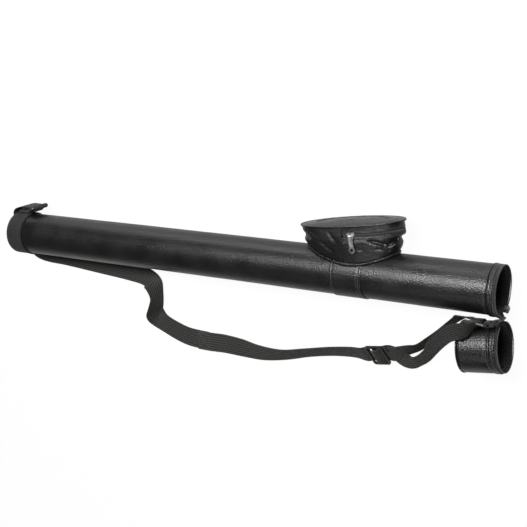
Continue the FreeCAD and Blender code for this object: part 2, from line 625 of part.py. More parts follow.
def make_strap():
    """Three runs of webbing: base ring to the floor joint, joint to the mouth ring, and back."""
    base_loop = placed(loop_end(BASE_LOOP_L, STRAP_W - 2), BASE_FAR_BAR, vec(-BASE_LOOP_L, 0.2, 0), Z_AXIS)
    save("rear_strap", rear_strap().fuse(base_loop))
    save("front_strap", ribbon(full_width(front_strap() + mouth_loop())))
    run, bar, face = adjuster_frame()
    eye = placed(rod(ADJUSTER_EYE_R, STRAP_W), ADJUSTER, run, bar)
    hole = placed(rod(ADJUSTER_HOLE_R, STRAP_W + 2), ADJUSTER, run, bar)
    save("return_strap", ribbon(full_width(return_strap())).fuse(eye).cut(hole))
    make_adjuster(run, bar)


def rod(radius, length):
    """Round bar along Z, centred on the origin."""
    return Part.makeCylinder(radius, length, vec(0, 0, -length / 2))


def make_adjuster(run, bar):
    """Three-bar slider: rounded side rails, two end bars and a round centre bar."""
    half, rail, deep = ADJUSTER_HALF, ADJUSTER_RAIL, ADJUSTER_DEEP
    frame = block(-half, half, -deep, deep, -rail, rail)
    corners = [e for e in frame.Edges if e.BoundBox.YLength > 2 * deep - 0.1 and e.BoundBox.XLength < 0.1
               and e.BoundBox.ZLength < 0.1]
    frame = frame.makeFillet(4.0, corners)
    window = block(-half + 2.6, half - 2.6, -5, 5, -16.0, 16.0)
    frame = frame.cut(window).fuse(rod(1.4, 33.0))
    save("strap_slider", placed(frame, ADJUSTER, run, bar))


# ---- all nodes ------------------------------------------------------------------------------
make_tube()
make_base_cap()
make_mouth()
make_lid()
make_hinge()
make_lid_slider()
make_pouch()
make_rings()
make_strap()
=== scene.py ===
"""Cue case: the visible model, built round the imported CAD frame. Metres, in the case's own frame."""
import json
import math

import bmesh
import bpy
import numpy as np
from mathutils import Matrix, Vector


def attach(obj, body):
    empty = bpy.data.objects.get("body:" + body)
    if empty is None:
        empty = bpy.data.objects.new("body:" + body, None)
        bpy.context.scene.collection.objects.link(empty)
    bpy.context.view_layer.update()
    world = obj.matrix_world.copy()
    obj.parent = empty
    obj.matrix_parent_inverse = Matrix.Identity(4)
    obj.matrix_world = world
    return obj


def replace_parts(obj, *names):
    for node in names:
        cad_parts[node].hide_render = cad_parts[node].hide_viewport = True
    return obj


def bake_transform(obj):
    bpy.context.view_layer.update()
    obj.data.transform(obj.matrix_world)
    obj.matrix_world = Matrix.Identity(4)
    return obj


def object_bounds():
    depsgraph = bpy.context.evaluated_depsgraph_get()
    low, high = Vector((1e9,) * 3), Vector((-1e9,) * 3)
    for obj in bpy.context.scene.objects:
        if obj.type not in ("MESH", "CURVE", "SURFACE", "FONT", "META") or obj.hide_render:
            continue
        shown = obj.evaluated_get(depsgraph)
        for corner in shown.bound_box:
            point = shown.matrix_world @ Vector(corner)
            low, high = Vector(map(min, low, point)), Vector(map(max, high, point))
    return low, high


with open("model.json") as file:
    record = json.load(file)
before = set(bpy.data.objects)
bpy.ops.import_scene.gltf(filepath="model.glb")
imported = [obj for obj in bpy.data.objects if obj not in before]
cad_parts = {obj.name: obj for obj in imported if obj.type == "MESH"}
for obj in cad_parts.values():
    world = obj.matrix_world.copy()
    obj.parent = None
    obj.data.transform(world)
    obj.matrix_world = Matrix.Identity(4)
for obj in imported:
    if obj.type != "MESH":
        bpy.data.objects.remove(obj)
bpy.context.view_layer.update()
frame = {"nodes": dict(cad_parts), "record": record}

MM = 0.001

# ---- the case's main sizes, in millimetres ----------------------------------------------------
TUBE_R = 32.0
CORE_R = 30.95
TUBE_X0, TUBE_X1 = 3.1, 791.0
PARTING = 803.0
HINGE_Y = -36.5
LID_OPEN = 173.0
LID_R = 33.3
LID_END = 857.0
ZIP_R = 31.6
BAND_X0, BAND_X1 = 579.5, 624.5
POUCH_X, POUCH_Y, POUCH_TILT = 598.5, 70.0, 6.8
ZIP_Y = -13.5
ZIP_START = 0.0
STRAP_W, STRAP_T = 30.0, 1.5
STRAP_Z = -33.4
WEB_RIBS = 8
THREAD_R = 0.22


# ---- small maths ------------------------------------------------------------------------------
def wave(a, b, seed, scale):
    """Smooth two-way ripple between -1 and 1, the sum of a few slanted waves."""
    draw = np.random.default_rng(seed)
    total = 0
    for k in range(5):
        fa, fb = draw.uniform(-1, 1, 2) * scale * (1 + 0.6 * k)
        total = total + np.sin(a * fa + b * fb + draw.uniform(0, 6.28)) / (1 + 0.5 * k)
    return total / 3.0


def bump_at(a, b, centre, size):
    """Soft round bump of height 1."""
    return np.exp(-((a - centre[0]) / size[0]) ** 2 - ((b - centre[1]) / size[1]) ** 2)


def crease(a, b, p, q, width):
    """Ridge of height 1 along the line from p to q, fading at both ends."""
    ax, ay = p
    dx, dy = q[0] - p[0], q[1] - p[1]
    length = math.hypot(dx, dy)
    along = ((a - ax) * dx + (b - ay) * dy) / length
    off = ((a - ax) * dy - (b - ay) * dx) / length
    fade = np.exp(-(np.clip(np.abs(along - length / 2) - length * 0.35, 0, None) / (length * 0.18)) ** 2)
    return fade * np.exp(-(off / width) ** 2)


def catmull(rows, steps):
    rows = np.array(rows, float)
    out = []
    last = len(rows) - 1
    for i in range(last):
        p0, p1, p2, p3 = rows[max(i - 1, 0)], rows[i], rows[i + 1], rows[min(i + 2, last)]
        for t in np.arange(steps) / steps:
            out.append(0.5 * (2 * p1 + (p2 - p0) * t + (2 * p0 - 5 * p1 + 4 * p2 - p3) * t ** 2
                              + (3 * p1 - p0 - 3 * p2 + p3) * t ** 3))
    out.append(rows[-1])
    return np.array(out)


def lid_turn():
    """Matrix from the shut lid to the lid at rest, in millimetres."""
    pivot = Matrix.Translation((PARTING, HINGE_Y, 0))
    return pivot @ Matrix.Rotation(math.radians(-LID_OPEN), 4, "Z") @ pivot.inverted()


def pouch_turn():
    """Matrix from the pouch's top panel to the case, in millimetres."""
    return Matrix.Translation((POUCH_X, POUCH_Y, 0)) @ Matrix.Rotation(math.radians(POUCH_TILT), 4, "Z")


def moved(points, matrix):
    p = np.asarray(points, float)
    m = np.array(matrix)
    return p @ m[:3, :3].T + m[:3, 3]


def pouch_point(x, y, z=0.0):
    return Vector(moved([(x, y, z)], pouch_turn())[0] * MM)


# ---- meshes -----------------------------------------------------------------------------------
def new_object(name, verts_mm, faces, material):
    mesh = bpy.data.meshes.new(name)
    mesh.from_pydata([tuple(v) for v in np.asarray(verts_mm, float) * MM], [], faces)
    mesh.validate()
    obj = bpy.data.objects.new(name, mesh)
    bpy.context.scene.collection.objects.link(obj)
    mesh.materials.append(material)
    for poly in mesh.polygons:
        poly.use_smooth = True
    return obj


def tidy(obj, merge=1e-6):
    """Merges doubled points and turns the faces outward."""
    bm = bmesh.new()
    bm.from_mesh(obj.data)
    bmesh.ops.remove_doubles(bm, verts=bm.verts, dist=merge)
    bmesh.ops.recalc_face_normals(bm, faces=bm.faces)
    bm.to_mesh(obj.data)
    bm.free()
    return obj


def grid(name, points, material, wrap=(False, False), uv=None, caps=False):
    """Mesh of an (n, m) grid of points. wrap closes it in either direction, uv is in metres."""
    points = np.asarray(points, float)
    n, m = points.shape[:2]
    faces, corners = [], []
    for i in range(n if wrap[0] else n - 1):
        for j in range(m if wrap[1] else m - 1):
            a, b = (i + 1) % n, (j + 1) % m
            faces.append((i * m + j, a * m + j, a * m + b, i * m + b))
            corners.append(((i, j), (i + 1, j), (i + 1, j + 1), (i, j + 1)))
    if caps and wrap[1]:
        faces.append(tuple(range(m)))
        faces.append(tuple((n - 1) * m + j for j in range(m - 1, -1, -1)))
        corners += [tuple((0, j) for j in range(m)), tuple((n - 1, j) for j in range(m - 1, -1, -1))]
    obj = new_object(name, points.reshape(-1, 3), faces, material)
    if uv is not None:
        layer = obj.data.uv_layers.new(name="UVMap")
        u, v = uv
        k = 0
        for quad in corners:
            for i, j in quad:
                layer.data[k].uv = (u[min(i, len(u) - 1)], v[min(j, len(v) - 1)])
                k += 1
    return tidy(obj)


def path_length(points, closed=False):
    points = np.asarray(points, float)
    steps = np.linalg.norm(np.diff(points, axis=0), axis=1)
    total = np.concatenate([[0], np.cumsum(steps)])
    if closed:
        total = np.append(total, total[-1] + np.linalg.norm(points[0] - points[-1]))
    return total


def lathe(name, profile, material, segments=160, spread=None, dent=None, matrix=None, closed=True):
    """Turns a profile of (x, r) round the X axis. spread limits it to a range of degrees."""
    profile = np.asarray(profile, float)
    if spread is None:
        angles = np.arange(segments) * 2 * math.pi / segments
    else:
        angles = np.radians(np.linspace(spread[0], spread[1], segments))
    x = np.repeat(profile[:, 0][:, None], len(angles), 1)
    r = np.repeat(profile[:, 1][:, None], len(angles), 1)
    a = np.repeat(angles[None, :], len(profile), 0)
    if dent is not None:
        r = r + dent(x, a, r)
    points = np.stack([x, r * np.cos(a), r * np.sin(a)], -1)
    if matrix is not None:
        points = moved(points, matrix)
    u = path_length(profile, closed) * MM
    full = np.append(angles, angles[0] + 2 * math.pi) if spread is None else angles
    v = full * profile[:, 1].max() * MM
    obj = grid(name, points, material, wrap=(closed, spread is None), uv=(u, v))
    if spread is not None and closed:
        close_ends(obj)
    return obj


def close_ends(obj):
    bm = bmesh.new()
    bm.from_mesh(obj.data)
    edges = [e for e in bm.edges if e.is_boundary]
    if edges:
        bmesh.ops.holes_fill(bm, edges=edges, sides=0)
    bmesh.ops.recalc_face_normals(bm, faces=bm.faces)
    bm.to_mesh(obj.data)
    bm.free()


def round_profile(x0, x1, r_in, r_out, bead=0.5, step=2.5):
    """Closed profile of a thin layer with rounded outer edges."""
    top = [(x0, r_out - bead), (x0 + 0.3 * bead, r_out - 0.3 * bead), (x0 + bead, r_out)]
    count = max(int((x1 - x0 - 2 * bead) / step), 1)
    run = [(x, r_out) for x in np.linspace(x0 + bead, x1 - bead, count + 1)[1:-1]]
    end = [(x1 - bead, r_out), (x1 - 0.3 * bead, r_out - 0.3 * bead), (x1, r_out - bead)]
    back = [(x1, r_in), (x0, r_in)]
    return top + run + end + back


def join(name, parts):
    """One object from several, keeping the first one's material."""
    for p in parts:
        p.select_set(True)
    bpy.context.view_layer.objects.active = parts[0]
    with bpy.context.temp_override(active_object=parts[0], selected_editable_objects=parts,
                                   selected_objects=parts):
        bpy.ops.object.join()
    parts[0].name = name
    parts[0].data.name = name
    return parts[0]


def tube_along(name, path, radius, material, sides=8, closed=False):
    """Round cord along a path."""
    path = np.asarray(path, float)
    n = len(path)
    rings = []
    previous = None
    for i in range(n):
        if closed:
            ahead = path[(i + 1) % n] - path[i - 1]
        else:
            ahead = path[min(i + 1, n - 1)] - path[max(i - 1, 0)]
        ahead = ahead / np.linalg.norm(ahead)
        if previous is None:
            previous = np.array([0.3, 0.2, 0.9])
        side = previous - ahead * previous.dot(ahead)
        side /= np.linalg.norm(side)
        previous = side
        up = np.cross(ahead, side)
        a = np.arange(sides) * 2 * math.pi / sides
        rings.append(path[i] + radius * (np.cos(a)[:, None] * side + np.sin(a)[:, None] * up))
    v = np.linspace(0, 2 * math.pi * radius * MM, sides + 1)
    return grid(name, rings, material, wrap=(closed, True), uv=(path_length(path, closed) * MM, v),
                caps=not closed)


def stitch_row(path, normals, pitch=3.2, length=2.5, radius=THREAD_R, sink=0.1):
    """Points and faces of separate thread stitches along a path. normals point out of the surface."""
    path, normals = np.asarray(path, float), np.asarray(normals, float)
    run = path_length(path)
    verts, faces = [], []
    for k in range(int(run[-1] / pitch)):
        s0 = (k + 0.5) * pitch - length / 2
        stations = []
        for t, dip in ((0, -0.5), (0.14, 0.15), (0.5, 0.35), (0.86, 0.15), (1, -0.5)):
            s = s0 + t * length
            p = [np.interp(s, run, path[:, c]) for c in range(3)]
            n = np.array([np.interp(s, run, normals[:, c]) for c in range(3)])
            n /= np.linalg.norm(n)
            stations.append((np.array(p) + n * (dip * radius * 2 - sink), n))
        ahead = stations[-1][0] - stations[0][0]
        ahead /= np.linalg.norm(ahead)
        first = len(verts)
        for t, (p, n) in enumerate(stations):
            side = np.cross(ahead, n)
            thick = radius * (0.6 if t in (0, 4) else 1.0)
            for a in np.arange(6) * math.pi / 3:
                verts.append(p + thick * (math.cos(a) * side + math.sin(a) * n))
        for t in range(4):
            for a in range(6):
                b = (a + 1) % 6
                faces.append((first + t * 6 + a, first + t * 6 + b, first + t * 6 + 6 + b, first + t * 6 + 6 + a))
        faces.append(tuple(first + a for a in range(5, -1, -1)))
        faces.append(tuple(first + 24 + a for a in range(6)))
    return verts, faces


def stitches(name, rows, **style):
    """One object of thread for several rows of (path, normals)."""
    verts, faces = [], []
    for path, normals in rows:
        v, f = stitch_row(path, normals, **style)
        faces += [tuple(k + len(verts) for k in face) for face in f]
        verts += v
    return new_object(name, verts, faces, thread)


def hoop(x, r, start=0.0, end=360.0, count=181, matrix=None):
    """Path round the X axis with its outward normals."""
    a = np.radians(np.linspace(start, end, count))
    out = np.stack([np.zeros_like(a), np.cos(a), np.sin(a)], -1)
    path = out * r + np.array([x, 0, 0])
    if matrix is not None:
        path = moved(path, matrix)
        out = out @ np.array(matrix)[:3, :3].T
    return path, out


# ---- materials --------------------------------------------------------------------------------
class Finish:
    """Builds one node material step by step."""

    def __init__(self, name, color, roughness, specular=0.5, metallic=0.0):
        self.material = bpy.data.materials.new(name)
        self.material.use_nodes = True
        self.tree = self.material.node_tree
        self.surface = self.tree.nodes["Principled BSDF"]
        self.surface.inputs["Base Color"].default_value = (*color, 1)
        self.surface.inputs["Roughness"].default_value = roughness
        self.surface.inputs["Specular IOR Level"].default_value = specular
        self.surface.inputs["Metallic"].default_value = metallic
        self.place = self.node("ShaderNodeTexCoord")
        self.normal = None

    def node(self, kind, **settings):
        n = self.tree.nodes.new(kind)
        for key, value in settings.items():
            setattr(n, key, value)
        return n

    def link(self, a, b):
        self.tree.links.new(a, b)

    def math(self, operation, a, b=None):
        n = self.node("ShaderNodeMath", operation=operation)
        for socket, value in zip(n.inputs, (a, b)):
            if value is None:
                continue
            if isinstance(value, (int, float)):
                socket.default_value = value
            else:
                self.link(value, socket)
        return n.outputs[0]

    def noise(self, scale, detail=3.0, stretch=None):
        n = self.node("ShaderNodeTexNoise")
        n.inputs["Scale"].default_value = scale
        n.inputs["Detail"].default_value = detail
        source = self.place.outputs["Object"]
        if stretch:
            mapping = self.node("ShaderNodeMapping")
            mapping.inputs["Scale"].default_value = stretch
            self.link(source, mapping.inputs["Vector"])
            source = mapping.outputs["Vector"]
        self.link(source, n.inputs["Vector"])
        return n.outputs["Fac"]

    def cells(self, scale, feature="F1"):
        n = self.node("ShaderNodeTexVoronoi", feature=feature)
        n.inputs["Scale"].default_value = scale
        self.link(self.place.outputs["Object"], n.inputs["Vector"])
        return n.outputs["Distance"]

    def ramp(self, factor, low, high, at=(0.3, 0.7)):
        n = self.node("ShaderNodeMapRange")
        n.inputs["From Min"].default_value = at[0]
        n.inputs["From Max"].default_value = at[1]
        n.inputs["To Min"].default_value = low
        n.inputs["To Max"].default_value = high
        self.link(factor, n.inputs["Value"])
        return n.outputs["Result"]

    def tint(self, factor, dark, light):
        n = self.node("ShaderNodeMix", data_type="RGBA")
        n.inputs["A"].default_value = (*dark, 1)
        n.inputs["B"].default_value = (*light, 1)
        self.link(factor, n.inputs["Factor"])
        self.link(n.outputs["Result"], self.surface.inputs["Base Color"])

    def rough(self, value):
        self.link(value, self.surface.inputs["Roughness"])

    def bump(self, height, distance, strength=1.0):
        n = self.node("ShaderNodeBump")
        n.inputs["Distance"].default_value = distance
        n.inputs["Strength"].default_value = strength
        self.link(height, n.inputs["Height"])
        if self.normal is not None:
            self.link(self.normal, n.inputs["Normal"])
        self.normal = n.outputs["Normal"]
        self.link(self.normal, self.surface.inputs["Normal"])

    def uv(self):
        split = self.node("ShaderNodeSeparateXYZ")
        self.link(self.place.outputs["UV"], split.inputs["Vector"])
        return split.outputs["X"], split.outputs["Y"]

    def stripes(self, coordinate, pitch):
        """Rounded ridges between 0 and 1 with the given pitch in metres."""
        wave_angle = self.math("MULTIPLY", coordinate, 2 * math.pi / pitch)
        return self.math("MULTIPLY_ADD", self.math("SINE", wave_angle), 0.5)

    def sheen(self, weight, roughness, color):
        self.surface.inputs["Sheen Weight"].default_value = weight
        self.surface.inputs["Sheen Roughness"].default_value = roughness
        self.surface.inputs["Sheen Tint"].default_value = (*color, 1)


def leather_finish(name, grain=900.0, base=0.010, gloss=0.36, wrinkle=0.0):
    """Black leatherette: fine pebbles, uneven sheen, and soft puckers where asked."""
    f = Finish(name, (base, base, base), gloss, specular=0.5)
    patches = f.noise(28, 4)
    f.tint(f.ramp(patches, 0, 1), (base * 0.8,) * 3, (base * 1.6, base * 1.58, base * 1.5))
    pebble = f.cells(grain, "SMOOTH_F1")
    fine = f.noise(grain * 2.2, 2)
    f.rough(f.math("ADD", f.ramp(patches, gloss - 0.05, gloss + 0.07), f.ramp(fine, -0.03, 0.03)))
    if wrinkle:
        f.bump(f.noise(55, 4, (1, 1, 1)), wrinkle)
    f.bump(f.math("MULTIPLY", pebble, -1.0), 0.00042, 0.85)
    f.bump(fine, 0.00012, 0.6)
    return f.material


def webbing_finish(name, color, rib=2.0, pick=0.85):
    """Ribbed webbing: ribs run along U, picks cross them, with fuzz; the colour is painted lighter on the rib crests
    (painted highlight) and darker in the hollows (painted shade).
    """
    f = Finish(name, color, 0.72, specular=0.35)
    u, v = f.uv()
    ribs = f.stripes(v, rib * MM)
    picks = f.stripes(f.math("ADD", u, f.math("MULTIPLY", f.math("ROUND", f.math("MULTIPLY", v, 2000 / rib)), 
                                              pick * MM / 2)), pick * MM)
    weave = f.math("MULTIPLY", ribs, f.math("ADD", f.math("MULTIPLY", picks, 0.5), 0.5))
    fuzz = f.noise(1800, 3)
    # Colour follows the weave's height: painted highlight on the crests, painted shade in the hollows.
    light = tuple(min(c * 2.6 + 0.003, 1) for c in color)
    dark = tuple(c * 0.25 for c in color)
    f.tint(f.math("MULTIPLY", f.math("ADD", weave, f.ramp(fuzz, -0.15, 0.2)), 0.95), dark, light)
    f.rough(f.ramp(fuzz, 0.62, 0.85))
    f.bump(weave, 0.0006, 1.0)
    f.bump(fuzz, 0.00012, 0.5)
    f.sheen(0.08, 0.4, (0.5, 0.5, 0.48))
    return f.material


def weave_finish(name, color, pitch, roughness=0.7, depth=0.0004, sheen=0.2):
    """Plain basket weave laid on the piece's own UV lengths, its colour painted lighter on the crests (painted
    highlight) and darker in the hollows (painted shade).
    """
    f = Finish(name, color, roughness, specular=0.35)
    u, v = f.uv()
    warp = f.stripes(u, pitch * MM)
    weft = f.stripes(v, pitch * MM)
    weave = f.math("ABSOLUTE", f.math("SUBTRACT", warp, weft))
    fuzz = f.noise(1500, 3)
    # Colour follows the weave's height: painted highlight on the crests, painted shade in the hollows.
    f.tint(f.math("MULTIPLY", f.math("ADD", weave, f.ramp(fuzz, -0.2, 0.2)), 0.8), tuple(c * 0.45 for c in color),
           tuple(c * 1.8 for c in color))
    f.rough(f.ramp(fuzz, roughness - 0.1, roughness + 0.12))
    f.bump(weave, depth, 0.9)
    f.bump(fuzz, 0.0001, 0.5)
    f.sheen(sheen, 0.4, (0.5, 0.5, 0.5))
    return f.material


def plush_finish(name):
    f = Finish(name, (0.006, 0.006, 0.0065), 0.95, specular=0.15)
    pile = f.noise(1300, 4)
    patches = f.noise(70, 3)
    f.tint(f.ramp(patches, 0, 1), (0.004, 0.004, 0.0045), (0.012, 0.012, 0.013))
    f.rough(f.ramp(pile, 0.85, 1.0))
    f.bump(pile, 0.0012, 0.9)
    f.bump(patches, 0.0008, 0.4)
    f.sheen(0.35, 0.5, (0.35, 0.35, 0.37))
    return f.material


def metal_finish(name, color, roughness, scratch=0.08):
    f = Finish(name, color, roughness, specular=0.6, metallic=1.0)
    worn = f.noise(160, 4)
    lines = f.noise(900, 2, (1, 12, 12))
    f.rough(f.math("ADD", f.ramp(worn, roughness - 0.06, roughness + 0.1), f.ramp(lines, 0, scratch)))
    f.tint(f.ramp(worn, 0, 1), tuple(c * 0.75 for c in color), color)
    f.bump(lines, 0.00003, 0.4)
    return f.material


def coated_wire_finish(name):
    f = Finish(name, (0.03, 0.03, 0.032), 0.32, specular=0.6)
    chips = f.noise(420, 4)
    f.tint(f.ramp(chips, 0, 1, (0.62, 0.72)), (0.02, 0.02, 0.022), (0.16, 0.16, 0.165))
    f.rough(f.ramp(chips, 0.26, 0.42))
    f.bump(chips, 0.00006, 0.4)
    return f.material


def moulded_finish(name, color, roughness=0.42):
    """Satin moulded plastic with a fine spark texture."""
    f = Finish(name, color, roughness, specular=0.5)
    spark = f.noise(2600, 2)
    cloud = f.noise(90, 3)
    f.tint(f.ramp(cloud, 0, 1), tuple(c * 0.8 for c in color), tuple(c * 1.4 for c in color))
    f.rough(f.ramp(cloud, roughness - 0.06, roughness + 0.08))
    f.bump(spark, 0.00006, 0.6)
    return f.material


def board_finish(name):
    f = Finish(name, (0.12, 0.11, 0.10), 0.85, specular=0.2)
    fibre = f.noise(500, 5, (1, 6, 6))
    f.tint(f.ramp(fibre, 0, 1), (0.08, 0.075, 0.07), (0.17, 0.155, 0.14))
    f.rough(f.ramp(fibre, 0.75, 0.95))
    f.bump(fibre, 0.0003, 0.5)
    return f.material


def foam_finish(name):
    f = Finish(name, (0.04, 0.04, 0.042), 0.95, specular=0.15)
    pores = f.cells(1100)
    # Pore pits painted darker than the cell walls: painted shade in the pores.
    f.tint(f.ramp(pores, 0, 1, (0.1, 0.6)), (0.02, 0.02, 0.021), (0.06, 0.06, 0.062))
    f.rough(f.ramp(pores, 0.85, 1.0, (0.1, 0.6)))
    f.bump(pores, 0.0005, 0.7)
    return f.material


def floor_finish():
    """Pale floor that looks evenly lit to the camera and stays quiet in the case's own reflections."""
    f = Finish("studio_floor", (0.25, 0.25, 0.25), 0.8, specular=0.1)
    tone = f.noise(3, 3)
    f.tint(f.ramp(tone, 0, 1), (0.24, 0.24, 0.24), (0.27, 0.27, 0.27))
    f.rough(f.ramp(tone, 0.75, 0.85))
    glow = f.node("ShaderNodeEmission")
    glow.inputs["Color"].default_value = (1, 1, 1, 1)
    glow.inputs["Strength"].default_value = 1.12
    seen = f.node("ShaderNodeLightPath")
    mix = f.node("ShaderNodeMixShader")
    direct = f.math("MULTIPLY", seen.outputs["Is Camera Ray"], 0.85)
    mirrored = f.math("MULTIPLY", seen.outputs["Is Glossy Ray"], 0.4)
    f.link(f.math("ADD", direct, mirrored), mix.inputs["Fac"])
    f.link(f.surface.outputs["BSDF"], mix.inputs[1])
    f.link(glow.outputs["Emission"], mix.inputs[2])
    f.link(mix.outputs["Shader"], f.tree.nodes["Material Output"].inputs["Surface"])
    return f.material


leather = leather_finish("black_leatherette", grain=720, base=0.004, gloss=0.33)
soft_leather = leather_finish("soft_leatherette", grain=1100, base=0.005, gloss=0.27, wrinkle=0.0006)
webbing = webbing_finish("ribbed_webbing", (0.018, 0.0178, 0.016), rib=30.0 / WEB_RIBS)
tab_webbing = webbing_finish("tab_webbing", (0.024, 0.024, 0.022), rib=2.4)
binding = webbing_finish("edge_binding", (0.008, 0.008, 0.008), rib=1.2, pick=1.1)
nylon = weave_finish("woven_nylon", (0.011, 0.011, 0.0105), 2.1, depth=0.0006, sheen=0.06)
tape = weave_finish("zip_tape", (0.016, 0.016, 0.016), 0.8, depth=0.0002)
plush = plush_finish("black_plush")
nickel = metal_finish("nickel", (0.66, 0.65, 0.62), 0.24)
lid_metal = metal_finish("grey_slider_metal", (0.5, 0.5, 0.5), 0.34)
wire = coated_wire_finish("coated_wire")
teeth_plastic = moulded_finish("zip_teeth", (0.028, 0.028, 0.028), 0.36)
plastic = moulded_finish("buckle_plastic", (0.014, 0.014, 0.015), 0.34)
board = board_finish("core_board")
foam = foam_finish("pad_foam")
thread = webbing_finish("sewing_thread", (0.07, 0.07, 0.068), rib=0.5, pick=0.6)

slot_looks = {
    "black_leatherette": leather, "black_webbing": webbing, "black_nylon": nylon, "black_plush": plush,
    "nickel": nickel, "black_metal": wire, "core_board": board, "foam": foam, "zip_teeth": teeth_plastic,
    "zip_tape": tape, "black_plastic": plastic,
}
for part in frame["record"]["subparts"]:
    node = frame["nodes"][part["node"]]
    node.data.materials.clear()
    node.data.materials.append(slot_looks[part["material_slot"]])


# ---- tube -------------------------------------------------------------------------------------
def soft_dents(seed, size, scale=0.02):
    """Slight unevenness of a wrapped layer: never more than size millimetres proud."""
    def dent(x, a, r):
        outside = r > r.max() - 1.4
        return np.where(outside, size * (wave(x * scale, a * 1.0, seed, 2.2) - 0.6), 0)
    return dent


def make_sleeves():
    """Leatherette wrap in two lengths, meeting under the pouch band."""
    seam = (BAND_X0 + BAND_X1) / 2
    rear = lathe("tube_sleeve_rear", round_profile(TUBE_X0, seam, CORE_R, TUBE_R, 0.4, 4.0), leather,
                 segments=144, dent=soft_dents(3, 0.16))
    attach(rear, "case")
    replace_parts(rear, "rear_sleeve")
    profile = round_profile(seam + 0.1, TUBE_X1 - 0.1, CORE_R, TUBE_R, 0.4, 4.0)
    front = lathe("tube_sleeve_front", profile, leather, segments=144,
                  dent=soft_dents(8, 0.16))
    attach(front, "case")
    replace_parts(front, "front_sleeve")


def pucker(depth, count):
    """Small even gathers between stitches on the outside of a turned edge."""
    def dent(x, a, r):
        outside = r > r.max() - 1.5
        return np.where(outside, depth * (np.cos(a * count) * 0.5 + wave(x * 0.1, a * 4, 5, 2.0) - 0.6), 0)
    return dent


def make_band():
    """Leatherette band round the tube below the pouch, its two edges turned under and stitched."""
    r = TUBE_R + 1.05
    x0, x1 = BAND_X0, BAND_X1
    profile = [(x0, TUBE_R + 0.06), (x0, r - 0.35), (x0 + 0.5, r), (x0 + 2.6, r + 0.05), (x0 + 3.4, r - 0.3),
               (x0 + 4.2, r - 0.05)]
    profile += [(x, r - 0.05) for x in np.linspace(x0 + 8, x1 - 8, 9)]
    profile += [(x1 - 4.2, r - 0.05), (x1 - 3.4, r - 0.3), (x1 - 2.6, r + 0.05), (x1 - 0.5, r), (x1, r - 0.35),
                (x1, TUBE_R + 0.06)]
    band = lathe("pouch_band_wrap", profile, leather, segments=180, dent=pucker(0.08, 40))
    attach(band, "case")
    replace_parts(band, "pouch_band")
    rows = [hoop(x, r - 0.12) for x in (x0 + 3.4, x1 - 3.4, x1 - 6.6)]
    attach(stitches("pouch_band_thread", rows, pitch=3.4, length=2.6), "case")


def make_base():
    """Woven nylon cup over the closed end, with a bound edge and two rows of thread."""
    r = 33.45
    cup = [(28.6, 32.1), (28.9, r - 0.5), (28.3, r), (24, r + 0.02), (16, r), (9, r), (5, r), (2.7, r - 0.2),
           (1.2, r - 0.9), (0.35, r - 2.0), (0.05, r - 3.6), (0.02, 24), (0.05, 14), (0.03, 6), (0.03, 0),
           (2.9, 0), (2.9, 16), (2.9, 32.06), (16, 32.06)]
    cap = lathe("base_cup", cup, nylon, segments=180)
    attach(cap, "case")
    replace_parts(cap, "base_cap")
    ring = [(29.1, 32.1), (29.1, 33.3), (29.5, 34.0), (30.3, 34.15), (31.4, 34.1), (32.1, 33.7), (32.35, 33.0),
            (32.35, 32.1)]
    edge = lathe("base_edge_binding", ring, binding, segments=180, dent=pucker(0.06, 60))
    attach(edge, "case")
    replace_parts(edge, "base_binding")
    rows = [hoop(26.4, r + 0.02), hoop(4.4, r - 0.02)]
    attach(stitches("base_thread", rows, pitch=3.2, length=2.3), "case")


# ---- mouth and lid ----------------------------------------------------------------------------
def tooth(points, faces, centre, out, along, axial, size):
    """Adds one moulded zip tooth: a bevelled block with a narrow waist towards its own tape."""
    half_t, half_r, depth = size
    first = len(points)
    rows = ((0.0, 0.55, 0.85), (0.35, 0.6, 1.0), (0.6, 1.0, 1.0), (0.9, 1.0, 0.9), (1.0, 0.6, 0.6))
    for share, wide, tall in rows:
        for st, sr in ((-1, -1), (1, -1), (1, 1), (-1, 1)):
            points.append(centre + axial * (share * depth) + along * (st * half_t * wide) + out * (sr * half_r * tall))
    for k in range(4):
        for a in range(4):
            b = (a + 1) % 4
            faces.append((first + k * 4 + a, first + k * 4 + b, first + k * 4 + 4 + b, first + k * 4 + 4 + a))
    faces.append((first + 3, first + 2, first + 1, first))
    faces.append((first + 16, first + 17, first + 18, first + 19))


def rim_teeth(name, x_root, reach, start, end, offset, matrix=None):
    """Row of teeth round the rim. reach is signed, towards the parting line."""
    pitch = 3.0
    points, faces = [], []
    for angle in np.arange(start + offset, end, pitch):
        a = math.radians(angle)
        out = np.array([0, math.cos(a), math.sin(a)])
        along = np.array([0, -math.sin(a), math.cos(a)])
        tooth(points, faces, np.array([x_root, 0, 0]) + out * ZIP_R, out, along, np.array([np.sign(reach), 0, 0]),
              (0.58, 0.85, abs(reach)))
    points = np.array(points)
    if matrix is not None:
        points = moved(points, matrix)
    return tidy(new_object(name, points, faces, teeth_plastic))


HINGE_HALF = 22.0


